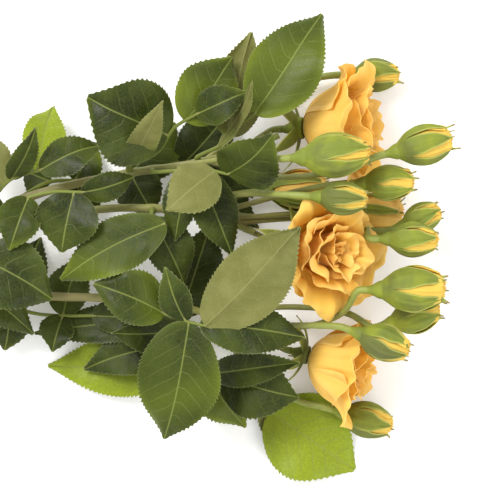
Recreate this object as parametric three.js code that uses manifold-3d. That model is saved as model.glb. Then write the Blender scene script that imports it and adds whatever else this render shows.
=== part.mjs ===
// A cut spray rose, laid down on a flat surface: one cane that forks into three shoots, with pinnate
// leaves, three open blooms and thirteen buds. Every leaf, petal whorl, calyx and the stem is a closed solid.
//
// Units are millimetres. +X runs along the cane towards the flowers, +Y to the left of it as seen from
// above, and +Z is up. The surface that the rose lies on is z = 0. Places are laid out from a point in the
// middle of the flowering end, and the last step moves the origin to the middle of the rose's footprint.
import * as THREE from "three";
import { mergeVertices } from "three/addons/utils/BufferGeometryUtils.js";
import Module from "manifold-3d";

const wasm = await Module();
wasm.setup();

// ---------------------------------------------------------------- driving dimensions
const SHEET = 0.8; // thickness of a leaflet, a petal or a sepal
const GAP = 0.4; // clearance between pieces that only touch
const CANE_RADIUS = 3.0; // at the cut end
const SHOOT_RADIUS = 2.3; // where a shoot leaves the cane
const STALK_RADIUS = 1.25; // flower stalk, under the hip
const PETIOLE_RADIUS = 1.0; // leaf stalk, where it leaves the shoot
const HIP_RADIUS = 4.4; // the green swelling under an open bloom
const HIP_HEIGHT = 8.0;
const PETAL_LENGTH = 36; // outer petal of the largest bloom, along its curve
const PETAL_SPREAD = 64; // widest angle that one outer petal covers, in degrees
const BUD_RADIUS = 8.0; // of the petals inside the largest bud
const BUD_LENGTH = 25;
const HEAD_DEPTH = 8; // how far a head's base is laid out below the seat of its petals
const PASSING = 0.12; // room between a bud's side and a stalk that passes it
const SEPALS = 5;
const OUTER_PETALS = 5;

const UP = new THREE.Vector3(0, 0, 1);
const degrees = THREE.MathUtils.degToRad;
const vector = ([x, y, z]) => new THREE.Vector3(x, y, z);
const mix = THREE.MathUtils.lerp;

const LEAF_GREEN = new THREE.MeshStandardMaterial({ color: 0x4b6a2c, roughness: 0.5 });
const STEM_GREEN = new THREE.MeshStandardMaterial({ color: 0x8a8a45, roughness: 0.6 });
const CALYX_GREEN = new THREE.MeshStandardMaterial({ color: 0x8fa548, roughness: 0.55 });
const PETAL_YELLOW = new THREE.MeshStandardMaterial({ color: 0xf8b04a, roughness: 0.6 });

// ---------------------------------------------------------------- solids
// A closed three.js geometry as a manifold-3d solid.
function solidOf(geometry) {
  const bare = geometry.index ? geometry.toNonIndexed() : geometry;
  const positions = new THREE.BufferGeometry();
  positions.setAttribute("position", bare.getAttribute("position"));
  const merged = mergeVertices(positions, 1e-3);
  return new wasm.Manifold(
    new wasm.Mesh({
      numProp: 3,
      vertProperties: merged.getAttribute("position").array,
      triVerts: new Uint32Array(merged.index.array),
    }),
  );
}

// A manifold-3d solid as a three.js geometry.
function geometryOf(solid) {
  const mesh = solid.getMesh();
  const geometry = new THREE.BufferGeometry();
  geometry.setAttribute("position", new THREE.BufferAttribute(mesh.vertProperties, 3));
  geometry.setIndex(new THREE.BufferAttribute(mesh.triVerts, 1));
  geometry.computeVertexNormals();
  return geometry;
}

// Several closed geometries that grow into each other, as one.
function joined(geometries) {
  return geometryOf(geometries.map(solidOf).reduce((whole, next) => whole.add(next)));
}

function node(name, geometry, material) {
  const mesh = new THREE.Mesh(geometry, material);
  mesh.name = name;
  return mesh;
}

// A thin box bent so that its middle follows surface(u, v), with u from 0 to 1 and v from -1 to 1.
function sheet(surface, alongCells, acrossCells, thickness = SHEET) {
  const geometry = new THREE.BoxGeometry(1, 1, 1, alongCells, acrossCells, 1);
  const corners = geometry.getAttribute("position");
  const step = 1e-3;
  for (let i = 0; i < corners.count; i++) {
    const u = corners.getX(i) + 0.5;
    const v = corners.getY(i) * 2;
    const along = surface(u + step, v).sub(surface(u - step, v));
    const across = surface(u, v + step).sub(surface(u, v - step));
    const normal = along.cross(across).normalize();
    const point = surface(u, v).addScaledVector(normal, corners.getZ(i) * thickness);
    corners.setXYZ(i, point.x, point.y, point.z);
  }
  return geometry;
}

// A cylinder bent along a curve, with its radius given at each share of the curve's length.
function tube(curve, radiusAt, sides, steps) {
  const geometry = new THREE.CylinderGeometry(1, 1, 1, sides, steps);
  const corners = geometry.getAttribute("position");
  const frames = curve.computeFrenetFrames(steps, false);
  for (let i = 0; i < corners.count; i++) {
    const k = Math.round((corners.getY(i) + 0.5) * steps);
    const radius = radiusAt(k / steps);
    const point = curve.getPointAt(k / steps);
    point.addScaledVector(frames.normals[k], corners.getX(i) * radius);
    point.addScaledVector(frames.binormals[k], -corners.getZ(i) * radius);
    corners.setXYZ(i, point.x, point.y, point.z);
  }
  return geometry;
}

// A body turned about its own axis from [radius, height] points that start and end on the axis.
function turned(profile, sides) {
  const points = profile.map(([radius, height]) => new THREE.Vector2(radius, height));
  const geometry = new THREE.LatheGeometry(points, sides);
  geometry.rotateX(Math.PI / 2);
  return geometry;
}

// ---------------------------------------------------------------- stem
const through = (points) => new THREE.CatmullRomCurve3(points.map(vector), false, "centripetal");

// Every shoot starts inside the cane's end.
const FORK = [-152, 3, 12.8];

const SHOOTS = {
  cane: {
    curve: through([[-308, -8, 3.2], [-250, -3, 5], [-200, 1, 8], [-148, 3, 13]]),
    ends: [CANE_RADIUS, 2.8],
  },
  upper: {
    curve: through([
      FORK,
      [-125, 13, 17],
      [-98, 25, 22],
      [-60, 34, 28],
      [-22, 40, 31],
      [2, 47, 33],
      [13, 52, 34],
    ]),
    ends: [SHOOT_RADIUS, 1.5],
  },
  middle: {
    curve: through([FORK, [-125, 7, 20], [-100, 13, 26], [-60, 19, 31], [-20, 16, 31], [2, 8, 30]]),
    ends: [SHOOT_RADIUS, 1.5],
  },
  lower: {
    curve: through([
      FORK,
      [-125, -10, 15],
      [-98, -20, 18],
      [-65, -22, 21],
      [-30, -26, 22],
      [0, -36, 22],
      [12, -40, 23],
    ]),
    ends: [SHOOT_RADIUS, 1.5],
  },
};

function shootRadius(shoot, share) {
  return mix(shoot.ends[0], shoot.ends[1], share);
}

// ---------------------------------------------------------------- flower heads
// base is HEAD_DEPTH below the seat of the petals, and facing the direction that the flower looks. A stalk
// leaves its shoot at the share given, and passes the via points.

// Half the width of a bud, whose side is wider when it has begun to open.
const budReach = (size, open) => BUD_RADIUS * size * (1 + 0.2 * open);

// How far two buds that grow next to each other are apart, with the room left between their sides.
const apart = (size, next, room) => BUD_RADIUS * (size + next) + room;

const BLOOMS = {
  middle: {
    base: [17, 2, 27],
    facing: [0.68, -0.08, 0.73],
    size: 1.04,
    open: 0.9,
    turn: -25,
    lengths: [1.05, 0.75, 0.86, 0.86, 0.92],
    shoot: "middle",
    at: 0.97,
    via: [],
  },
  upper: {
    base: [15, 55, 22],
    facing: [0.95, 0.05, 0.21],
    size: 1.18,
    open: 0.62,
    turn: 36,
    lengths: [0.72, 0.8, 0.95, 0.84, 1],
    shoot: "upper",
    at: 0.9,
    via: [[4, 51, 24]],
  },
  lower: {
    base: [19, -46, 19],
    facing: [0.95, -0.26, 0.16],
    size: 1,
    open: 0.5,
    turn: 12,
    lengths: [1, 0.8, 1, 1.05, 0.76],
    shoot: "lower",
    at: 0.97,
    via: [],
  },
};

const BUDS = {
  front: {
    base: [18, 41, 65],
    facing: [1, 0.07, -0.03],
    size: 1.12,
    open: 0,
    turn: 15,
    shoot: "upper",
    at: 0.72,
    via: [[-8, 41, 50]],
  },
  second: {
    base: [4, 26.4, 14],
    facing: [1, 0.04, 0],
    size: 1,
    open: 0.65,
    turn: 0,
    shoot: "middle",
    at: 0.76,
    via: [[-14, 24, 20]],
  },
  far: {
    base: [61, 43, 52],
    facing: [1, 0.25, -0.05],
    size: 0.96,
    open: 0.5,
    turn: 50,
    shoot: "upper",
    at: 0.8,
    via: [[10, 33, 44], [42, 36, 52]],
  },
  fork: {
    base: [47, 30, 42],
    facing: [1, 0.02, 0.04],
    size: 0.85,
    open: 0.2,
    turn: 5,
    shoot: "middle",
    at: 0.86,
    via: [[15, 25, 34], [34, 29, 40]],
  },
  nested: {
    base: [27, 41 - apart(1.12, 0.8, 1.64), 62],
    facing: [1, -0.06, 0.06],
    size: 0.8,
    open: 0,
    turn: 30,
    shoot: "middle",
    at: 0.72,
    via: [[-4, 25, 40], [12, 25, 57]],
  },
  top: {
    base: [43, 80, 9],
    facing: [1, 0, 0.02],
    size: 0.8,
    open: 0.1,
    turn: 20,
    shoot: "upper",
    at: 0.8,
    via: [[8, 67, 12], [28, 78, 8]],
  },
  back: {
    base: [40, 17, 14],
    facing: [1, -0.02, 0.06],
    size: 0.95,
    open: 0.9,
    turn: 18,
    shoot: "middle",
    at: 0.8,
    via: [[8, 15, 20], [30, 26.4 - budReach(1, 0.65) - STALK_RADIUS - PASSING, 13]],
  },
  outer: {
    base: [66, 10, 31],
    facing: [1, 0.4, 0.02],
    size: 0.68,
    open: 0.3,
    turn: 60,
    shoot: "middle",
    at: 0.9,
    via: [[30, 16, 24], [54, 9, 30]],
  },
  olive: {
    base: [58, 5, 47],
    facing: [1, -0.02, 0.05],
    size: 0.84,
    open: 0,
    turn: 35,
    shoot: "middle",
    at: 0.93,
    via: [[26, 14.4, 20], [51, 11.2, 30]],
  },
  large: {
    base: [53, -18, 50],
    facing: [1, 0.02, 0.03],
    size: 1.1,
    open: 0.6,
    turn: 0,
    shoot: "lower",
    at: 0.84,
    via: [[22, -35, 24], [42, -28, 42]],
  },
  shaded: {
    base: [60, -34, 31],
    facing: [1, 0.28, 0],
    size: 0.85,
    open: 0.2,
    turn: 10,
    shoot: "lower",
    at: 0.8,
    via: [[20, -26, 15], [45, -29, 29]],
  },
  lower: {
    base: [45, -36, 52],
    facing: [1, -0.36, 0],
    size: 0.88,
    open: 0.3,
    turn: 45,
    shoot: "lower",
    at: 0.88,
    via: [[14, -34, 30], [30, -34, 46]],
  },
  low: {
    base: [38, -73, 13],
    facing: [1, -0.28, 0.02],
    size: 0.88,
    open: 0.2,
    turn: 25,
    shoot: "lower",
    at: 0.8,
    via: [[6, -60, 13], [22, -69, 11]],
  },
};

const facingOf = (head) => vector(head.facing).normalize();

// The foot of the hip.
function footOf(head) {
  return vector(head.base).addScaledVector(facingOf(head), (HEAD_DEPTH - HIP_HEIGHT) * head.size);
}

// The stalk ends square to the hip, one gap short of it.
function stalkCurve(head) {
  const facing = facingOf(head);
  const end = footOf(head).addScaledVector(facing, -GAP);
  const approach = end.clone().addScaledVector(facing, -4);
  const start = SHOOTS[head.shoot].curve.getPointAt(head.at);
  return new THREE.CatmullRomCurve3([start, ...head.via.map(vector), approach, end], false, "centripetal");
}

function stemGeometry() {
  const parts = Object.values(SHOOTS).map((shoot) => {
    const steps = Math.round(shoot.curve.getLength() / 16);
    return tube(shoot.curve, (share) => shootRadius(shoot, share), 8, steps);
  });
  for (const head of [...Object.values(BLOOMS), ...Object.values(BUDS)]) {
    const curve = stalkCurve(head);
    const steps = Math.max(4, Math.round(curve.getLength() / 11));
    parts.push(tube(curve, (share) => STALK_RADIUS * (1 + 0.25 * share * share), 6, steps));
  }
  return joined(parts);
}

// Puts a head that was built with its foot at the origin and its axis along +Z where it grows.
function placed(head, meshes) {
  const group = new THREE.Group();
  group.add(...meshes);
  group.quaternion.setFromUnitVectors(UP, facingOf(head));
  group.position.copy(footOf(head));
  return group;
}

// Point at a radius, a turn about the axis and a height.
function polar(radius, angle, height) {
  return new THREE.Vector3(radius * Math.cos(angle), radius * Math.sin(angle), height);
}

// Radius and height reached after a share of a line that turns evenly from lean a to lean b, both measured
// from the axis in radians.
function arc(length, a, b, share) {
  const turn = b - a;
  const lean = a + turn * share;
  return [(length / turn) * (Math.cos(a) - Math.cos(lean)), (length / turn) * (Math.sin(lean) - Math.sin(a))];
}

// An outer petal's middle line: a cupped stretch, then a rim that rolls outwards as the bloom opens.
function petalLine(length, open, share) {
  const foot = degrees(74);
  const waist = degrees(mix(2, 22, open));
  const rim = degrees(mix(30, 112, open));
  const cup = 0.55;
  if (share <= cup) return arc(length * cup, foot, waist, share / cup);
  const [radius, height] = arc(length * cup, foot, waist, 1);
  const [further, higher] = arc(length * (1 - cup), waist, rim, (share - cup) / (1 - cup));
  return [radius + further, height + higher];
}

function outerPetal({ size, open, lengths }, angle, i) {
  const widest = degrees(PETAL_SPREAD / 2);
  const start = HIP_RADIUS * 0.75 * size;
  return sheet(
    (u, v) => {
      const [radius, height] = petalLine(PETAL_LENGTH * size, open, u * (1 - 0.16 * v * v) * lengths[i]);
      const spread = widest * (0.55 + 0.45 * Math.sin((Math.PI / 2) * Math.min(1, u * 1.5)));
      return polar(start + radius, angle + v * spread, HIP_HEIGHT * size + GAP + SHEET / 2 + height);
    },
    4,
    4,
  );
}

// The rolled inner petals as one body: a cup with a spiral of rims inside it, which the outer petals stand
// around.
function innerPetals(size, open) {
  const clear = SHEET / 2 + GAP + 0.5;
  const start = HIP_RADIUS * 0.75 * size;
  const foot = HIP_HEIGHT * size + GAP + SHEET / 2;
  const inside = [0, 0.25, 0.5, 0.75, 1].map((share) => {
    const lean = mix(degrees(74), degrees(mix(2, 22, open)), share);
    const [radius, height] = petalLine(PETAL_LENGTH * size, open, 0.55 * share);
    return [start + radius - clear * Math.cos(lean), foot + height + clear * Math.sin(lean)];
  });
  const [widest, shoulder] = inside[4];
  const top = foot + PETAL_LENGTH * size * 0.74;
  const rims = [
    [1, 0.6],
    [0.9, 0.95],
    [0.8, 0.6],
    [0.68, 1],
    [0.58, 0.66],
    [0.44, 1.04],
    [0.32, 0.72],
    [0.16, 1],
    [0, 0.8],
  ];
  const profile = [
    [0, inside[0][1]],
    ...inside,
    ...rims.map(([radius, level]) => [radius * widest, mix(shoulder, top, level)]),
  ];
  const geometry = turned(profile, 14);
  const corners = geometry.getAttribute("position");
  for (let i = 0; i < corners.count; i++) {
    const radius = Math.hypot(corners.getX(i), corners.getY(i));
    const angle = Math.atan2(corners.getY(i), corners.getX(i));
    const high = Math.max(0, (corners.getZ(i) - shoulder) / (top - shoulder));
    const lobes = 1 - 0.07 * (1 - Math.cos(3 * angle + 9 * (radius / widest))) * Math.min(1, high);
    corners.setXYZ(i, corners.getX(i) * lobes, corners.getY(i) * lobes, corners.getZ(i));
  }
  return geometry;
}

function hip(radius, height) {
  const side = [[0.4, 0], [0.78, 0.25], [1, 0.6], [0.85, 1]].map(([r, h]) => [radius * r, height * h]);
  return turned([[0, 0], ...side, [0, height]], 7);
}

// A sepal narrows to a thread-like tail.
const sepalWidth = (u) => 0.1 + 0.9 * Math.max(0, Math.sin(Math.PI * Math.min(1, 0.32 + u * 0.76)));

function openSepal(size, angle) {
  const length = 19 * size;
  return sheet(
    (u, v) => {
      const [radius, height] = arc(length, degrees(96), degrees(150), u);
      const across = 3.1 * size * sepalWidth(u) * v;
      const reach = HIP_RADIUS * 0.6 * size + radius;
      const point = polar(reach, angle, HIP_HEIGHT * size * 0.82 + height);
      return point.add(polar(across, angle + Math.PI / 2, 0));
    },
    4,
    2,
  );
}

const aroundAxis = (count, turn, build) =>
  Array.from({ length: count }, (_, i) => build(degrees(turn) + (2 * Math.PI * i) / count, i));

function bloom(name, head) {
  const calyxParts = [hip(HIP_RADIUS * head.size, HIP_HEIGHT * head.size)];
  calyxParts.push(...aroundAxis(SEPALS, head.turn + 36, (angle) => openSepal(head.size, angle)));
  const meshes = [
    node(`bloom_${name}_calyx`, joined(calyxParts), CALYX_GREEN),
    node(`bloom_${name}_inner_petals`, innerPetals(head.size, head.open), PETAL_YELLOW),
    ...aroundAxis(OUTER_PETALS, head.turn, (angle, i) =>
      node(`bloom_${name}_outer_petal_${i + 1}`, outerPetal(head, angle, i), PETAL_YELLOW),
    ),
  ];
  return placed(head, meshes);
}

// The closed petals of a bud, as a curve of radius against height.
const BUD_LINE = new THREE.SplineCurve(
  [[0.36, 0], [0.78, 0.13], [1, 0.36], [0.94, 0.58], [0.66, 0.8], [0.3, 0.96]].map(
    ([radius, height]) => new THREE.Vector2(radius * BUD_RADIUS, height * BUD_LENGTH),
  ),
);

// Radius and height on that curve. An opening bud is wider towards its tip.
function budSide({ size, open }, share) {
  const { x, y } = BUD_LINE.getPoint(share);
  return [x * size * (1 + 0.55 * open * share ** 2), y * size];
}

function budHip(size) {
  return [HIP_RADIUS * 0.78 * size, HIP_HEIGHT * 0.85 * size];
}

function budPetals(head) {
  const side = [0, 1, 2, 3, 4, 5].map((step) => budSide(head, step / 5));
  const foot = budHip(head.size)[1] + GAP;
  return turned([[0, 0], ...side, [0, BUD_LENGTH * head.size]], 8).translate(0, 0, foot);
}

// A sepal that lies against the bud up to its shoulder and then runs on past the tip as a tail.
function budSepal(head, angle) {
  const { size, open } = head;
  const hugging = 0.8;
  const offset = GAP + SHEET / 2 + 0.5;
  const foot = budHip(size)[1] + GAP;
  return sheet(
    (u, v) => {
      const rooted = u < 0.1;
      const beyond = Math.max(0, u - hugging);
      const [side, level] = budSide(head, Math.min(u, hugging) * 1.12 + 0.02);
      const radius = side + (rooted ? -0.6 : offset) + beyond * (2 + 10 * open) * size;
      const height = level + foot - (rooted ? 3 * size : 0) + beyond * 34 * size;
      const across = 4.6 * size * sepalWidth(u);
      return polar(radius, angle + (v * across) / Math.max(radius, 4 * size), height);
    },
    5,
    2,
  );
}

function bud(name, head) {
  const [radius, height] = budHip(head.size);
  const calyxParts = [hip(radius, height)];
  calyxParts.push(...aroundAxis(SEPALS, head.turn, (angle) => budSepal(head, angle)));
  return placed(head, [
    node(`bud_${name}_calyx`, joined(calyxParts), CALYX_GREEN),
    node(`bud_${name}_petals`, budPetals(head), PETAL_YELLOW),
  ]);
}

// ---------------------------------------------------------------- leaves
// Each leaf leaves its shoot at a share of the shoot's length, and its stalk passes the stalk points. A
// leaflet grows from a share of the stalk and ends at its tip. roll turns it about its own length, in
// degrees, with 180 showing its underside, and bow lifts its middle.
const LEAVES = {
  upper_fan: {
    shoot: "upper",
    at: 0.6,
    stalk: [[-42, 44, 38], [-34, 55, 45], [-24, 61, 50]],
    leaflets: [
      { at: 0.62, tip: [-73, 68, 50], width: 42, roll: -8, bow: 4 },
      { at: 0.12, tip: [-39, 65, 68], width: 14, roll: 20, bow: 2 },
      { at: 0.86, tip: [-8, 87, 44], width: 29, roll: 10, bow: 3 },
      { at: 1, tip: [-2, 71, 56], width: 18, roll: -10, bow: 3 },
    ],
  },
  top: {
    shoot: "upper",
    at: 0.78,
    stalk: [[-12, 48, 44], [-6, 55, 50], [2, 61, 52]],
    leaflets: [
      { at: 0.6, tip: [0, 98, 34], width: 25, roll: 186, bow: 3 },
      { at: 1, tip: [32, 107, 46], width: 33, roll: -6, bow: 4 },
      { at: 0.4, tip: [3, 75, 68], width: 10, roll: 130, bow: 2 },
    ],
  },
  folded: {
    shoot: "upper",
    at: 0.66,
    stalk: [[-28, 36, 42], [-19, 36, 50], [-10, 34, 55]],
    leaflets: [
      { at: 1, tip: [10, 51, 73], width: 30, roll: 22, bow: 3 },
      { at: 0.85, tip: [-37, 18, 60], width: 24, roll: 12, bow: 3 },
      { at: 0.6, tip: [-8, -2, 50], width: 22, roll: -14, bow: 2 },
      { at: 0.45, tip: [-34, 4, 44], width: 17, roll: 10, bow: 2 },
    ],
  },
  left_upper: {
    shoot: "upper",
    at: 0.16,
    stalk: [[-118, 22, 28], [-108, 32, 34], [-95, 36, 36]],
    leaflets: [
      { at: 1, tip: [-67, 48, 34], width: 18, roll: -14, bow: 3 },
      { at: 0.97, tip: [-90, 66, 12], width: 20, roll: 8, bow: 2 },
      { at: 0.6, tip: [-128, 53, 30], width: 20, roll: 10, bow: 2 },
      { at: 0.7, tip: [-96, 54, 52], width: 13, roll: 30, bow: 2 },
    ],
  },
  left_middle: {
    shoot: "middle",
    at: 0.2,
    stalk: [[-116, 14, 38], [-104, 22, 45], [-90, 26, 47], [-76, 26, 46]],
    leaflets: [
      { at: 0.95, tip: [-85, -1, 46], width: 29, roll: 6, bow: 3 },
      { at: 1, tip: [-52, 33, 42], width: 14, roll: 16, bow: 3 },
      { at: 0.62, tip: [-108, 0, 50], width: 20, roll: -6, bow: 3 },
      { at: 0.4, tip: [-146, 26, 42], width: 20, roll: -6, bow: 3 },
    ],
  },
  bright: {
    shoot: "middle",
    at: 0.7,
    stalk: [[-44, 15, 40], [-41, 12, 46], [-38, 12, 48]],
    leaflets: [
      { at: 1, tip: [-86, -13, 42], width: 26, roll: 14, bow: 4 },
      { at: 0.5, tip: [-29, -16, 38], width: 22, roll: -10, bow: 2 },
    ],
  },
  left_lower: {
    shoot: "lower",
    at: 0.12,
    stalk: [[-136, -8, 24], [-130, -6, 38], [-124, -2, 44]],
    leaflets: [
      { at: 1, tip: [-89, -22, 42], width: 33, roll: -4, bow: 4 },
      { at: 0.35, tip: [-98, -38, 24], width: 22, roll: -8, bow: 2 },
      { at: 0.6, tip: [-158, -28, 30], width: 20, roll: 8, bow: 2 },
    ],
  },
  star: {
    shoot: "lower",
    at: 0.56,
    stalk: [[-58, -24, 30], [-46, -26, 42], [-32, -31, 50], [-20, -34, 56]],
    leaflets: [
      { at: 0.62, tip: [-70, -15, 50], width: 25, roll: 6, bow: 4 },
      { at: 0.82, tip: [-38, -8, 58], width: 15, roll: -12, bow: 3 },
      { at: 1, tip: [22, 11, 79], width: 32, roll: 184, bow: 3 },
      { at: 0.85, tip: [-39, -86, 34], width: 38, roll: 6, bow: 5 },
      { at: 0.95, tip: [25, -39, 50], width: 24, roll: -10, bow: 3 },
    ],
  },
  bottom: {
    shoot: "lower",
    at: 0.74,
    stalk: [[-32, -32, 14], [-32, -44, 14], [-25, -54, 17], [-13, -58, 20]],
    leaflets: [
      { at: 1, tip: [22, -67, 28], width: 30, roll: 4, bow: 3 },
      { at: 0.4, tip: [-76, -54, 13], width: 22, roll: 4, bow: 2 },
      { at: 0.6, tip: [-93, -53, 2.5], width: 29, roll: -4, bow: 0.5 },
      { at: 0.15, tip: [-99, -38, 8], width: 19, roll: 8, bow: 2 },
      { at: 0.3, tip: [-62, -38, 30], width: 18, roll: -12, bow: 3 },
      { at: 0.86, tip: [22, -51, 39.5], width: 16, roll: 10, bow: 3 },
      { at: 0.12, tip: [-18, 12, 12], width: 26, roll: 0, bow: 0 },
      { at: 0.7, tip: [-2, -82, 8], width: 24, roll: 0, bow: 1 },
    ],
  },
  right_lower: {
    shoot: "lower",
    at: 0.9,
    stalk: [[-4, -44, 10], [2, -58, 5], [9, -74, 4]],
    leaflets: [
      { at: 1, tip: [48, -101, 3], width: 42, roll: 2, bow: 1 },
      { at: 0.85, tip: [16, -94, 1.5], width: 11, roll: 176, bow: 0.5 },
    ],
  },
  under_upper: {
    shoot: "upper",
    at: 0.3,
    stalk: [[-92, 31, 12], [-78, 32, 8], [-58, 35, 7], [-36, 38, 7], [-18, 38, 7]],
    leaflets: [
      { at: 1, tip: [15, 31, 13 - BUD_RADIUS], width: 24, roll: 0, bow: 1 },
      { at: 0.85, tip: [-8, 66, 8], width: 24, roll: 4, bow: 1 },
      { at: 0.85, tip: [4, 10, 8], width: 20, roll: -4, bow: 1 },
      { at: 0.6, tip: [-34, 58, 8], width: 26, roll: 0, bow: 1 },
      { at: 0.6, tip: [-44, 16, 9], width: 22, roll: 0, bow: 1 },
      { at: 0.32, tip: [-70, 48, 5], width: 18, roll: 0, bow: 1 },
      { at: 0.32, tip: [-72, 12, 10], width: 18, roll: 0, bow: 1 },
      { at: 0.2, tip: [-104, 36, 5], width: 16, roll: 0, bow: 1 },
    ],
  },
  under_lower: {
    shoot: "lower",
    at: 0.22,
    stalk: [[-110, -25, 13], [-98, -29, 13], [-84, -30, 13.5], [-72, -30, 15]],
    leaflets: [
      { at: 1, tip: [-48, -31, 17], width: 16, roll: 0, bow: 1 },
      { at: 0.75, tip: [-78, -3, 6], width: 20, roll: 0, bow: 0 },
      { at: 0.3, tip: [-96, 6, 3], width: 22, roll: 0, bow: 0 },
      { at: 0.3, tip: [-112, -46, 12], width: 18, roll: 0, bow: 1 },
      { at: 0.75, tip: [-90, -46, 20], width: 16, roll: 0, bow: 1 },
    ],
  },
};

// Half the width of a leaflet, as a share of its widest half: round at the foot and pointed at the tip.
function leafletOutline(u) {
  const along = Math.min(Math.max(u, 0), 1);
  return 0.05 + 0.95 * Math.sin(Math.PI * along ** 0.82) ** (0.62 + 0.45 * along);
}

function leafletSheet(foot, tip, { width, roll, bow }) {
  const length = foot.distanceTo(tip);
  const along = tip.clone().sub(foot).normalize();
  const face = UP.clone().addScaledVector(along, -UP.dot(along)).normalize();
  face.applyAxisAngle(along, degrees(roll));
  const side = face.clone().cross(along);
  const fold = 0.16; // rise of each half away from the midrib, as a slope
  return sheet(
    (u, v) => {
      const across = (width / 2) * leafletOutline(u) * v;
      const lift = bow * Math.sin(Math.PI * Math.min(Math.max(u, 0), 1)) + fold * Math.abs(across);
      const point = foot.clone().addScaledVector(along, length * u);
      return point.addScaledVector(side, across).addScaledVector(face, lift);
    },
    5,
    2,
  );
}

function leaf(name, spec) {
  const shoot = SHOOTS[spec.shoot];
  const centre = shoot.curve.getPointAt(spec.at);
  const tangent = shoot.curve.getTangentAt(spec.at);
  const outwards = vector(spec.stalk[0]).sub(centre);
  outwards.addScaledVector(tangent, -outwards.dot(tangent)).normalize();
  const clear = shootRadius(shoot, spec.at) + GAP;
  const start = centre.clone().addScaledVector(outwards, clear);
  const straight = centre.clone().addScaledVector(outwards, clear + 3);
  const points = [start, straight, ...spec.stalk.map(vector)];
  const stalk = new THREE.CatmullRomCurve3(points, false, "centripetal");
  const steps = Math.max(4, Math.round(stalk.getLength() / 7));
  const parts = [tube(stalk, (share) => PETIOLE_RADIUS * (1 - 0.3 * share), 6, steps)];
  for (const leaflet of spec.leaflets) {
    parts.push(leafletSheet(stalk.getPointAt(leaflet.at), vector(leaflet.tip), leaflet));
  }
  return node(`leaf_${name}`, joined(parts), LEAF_GREEN);
}

// ---------------------------------------------------------------- the rose
const rose = new THREE.Group();
rose.add(node("stem", stemGeometry(), STEM_GREEN));
for (const [name, spec] of Object.entries(LEAVES)) rose.add(leaf(name, spec));
for (const [name, head] of Object.entries(BLOOMS)) rose.add(bloom(name, head));
for (const [name, head] of Object.entries(BUDS)) rose.add(bud(name, head));

// The origin goes to the middle of the footprint, on the surface.
rose.updateMatrixWorld(true);
const extent = new THREE.Box3().setFromObject(rose, true);
rose.position.set(-(extent.min.x + extent.max.x) / 2, -(extent.min.y + extent.max.y) / 2, -extent.min.z);

export default rose;
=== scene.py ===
"""The looks of a cut spray rose that lies on a pale surface.

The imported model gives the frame: one body, with a node for the stem, each leaf, each calyx, each outer petal
and each set of petals rolled together. Every node is replaced here by a finer piece of the same size in the
same place. Sizes are in millimetres until a piece becomes a mesh, and places are laid out from the middle of
the flowering end.
"""

import logging
import math
from dataclasses import dataclass, field
from enum import Enum
from typing import Sequence

import bpy
import numpy as np
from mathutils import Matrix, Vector


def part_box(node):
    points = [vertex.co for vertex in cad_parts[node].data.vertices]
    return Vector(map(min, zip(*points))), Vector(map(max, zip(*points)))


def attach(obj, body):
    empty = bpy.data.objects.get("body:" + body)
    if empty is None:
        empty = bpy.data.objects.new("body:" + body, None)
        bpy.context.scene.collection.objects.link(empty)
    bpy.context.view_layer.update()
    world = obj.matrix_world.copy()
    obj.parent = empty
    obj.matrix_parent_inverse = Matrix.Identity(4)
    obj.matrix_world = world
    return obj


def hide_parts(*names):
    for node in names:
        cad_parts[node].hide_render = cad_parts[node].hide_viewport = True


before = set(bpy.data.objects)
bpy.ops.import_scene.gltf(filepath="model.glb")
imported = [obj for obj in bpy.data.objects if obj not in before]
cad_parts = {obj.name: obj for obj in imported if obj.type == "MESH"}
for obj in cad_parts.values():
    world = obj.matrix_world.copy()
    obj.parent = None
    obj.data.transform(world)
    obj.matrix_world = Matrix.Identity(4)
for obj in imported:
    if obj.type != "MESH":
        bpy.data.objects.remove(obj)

log = logging.getLogger("cut_rose")

MM = 0.001  # in metres
CAD_SHEET = 0.8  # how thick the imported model's petals are
GAP = 0.4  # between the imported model's pieces, where one grows from another
HIP_RADIUS = 4.4  # of a flower of size 1, as are the next four
HIP_HEIGHT = 8.0
PETAL_LENGTH = 36.0
BUD_RADIUS = 8.0
BUD_LENGTH = 25.0
STALK_RADIUS = 1.25
PETIOLE_RADIUS = 1.0
FULL_TURN = 2.0 * math.pi
GOLDEN_ANGLE = math.radians(137.5)
PER_WHORL = 5  # sepals, and outer petals, of one flower
SETTLE = 1.2  # what hangs lower than this is pressed flat against the surface
SETTLE_FROM = -2.0  # the lowest that anything hangs before it is pressed flat
SETTLE_TO = 0.05  # and where that ends up

Point = Sequence[float]
Colour = tuple[float, float, float]
Material = bpy.types.Material


# ------------------------------------------------------------------------------------------- small sums
def smooth(low: float, high: float, value: np.ndarray) -> np.ndarray:
    """Rises smoothly from 0 at low to 1 at high.

    Args:
        low: where the rise starts.
        high: where it ends.
        value: the numbers to look up.

    Returns:
        Numbers from 0 to 1.
    """
    t = np.clip((value - low) / (high - low), 0.0, 1.0)
    return t * t * (3.0 - 2.0 * t)


def mix(a: float, b: float, share: float) -> float:
    """Returns the value that lies a share of the way from a to b."""
    return a + (b - a) * share


def unit(vector: np.ndarray) -> np.ndarray:
    """Returns vectors scaled to length one along their last axis."""
    return vector / np.maximum(np.linalg.norm(vector, axis=-1, keepdims=True), 1e-12)


def turned_about(vector: np.ndarray, axis: np.ndarray, angle: float) -> np.ndarray:
    """Turns a vector about an axis.

    Args:
        vector: the vector to turn.
        axis: a unit vector to turn it about.
        angle: the turn in radians, by the right-hand rule.

    Returns:
        The turned vector.
    """
    c, s = math.cos(angle), math.sin(angle)
    return vector * c + np.cross(axis, vector) * s + axis * float(np.dot(axis, vector)) * (1.0 - c)


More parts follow.
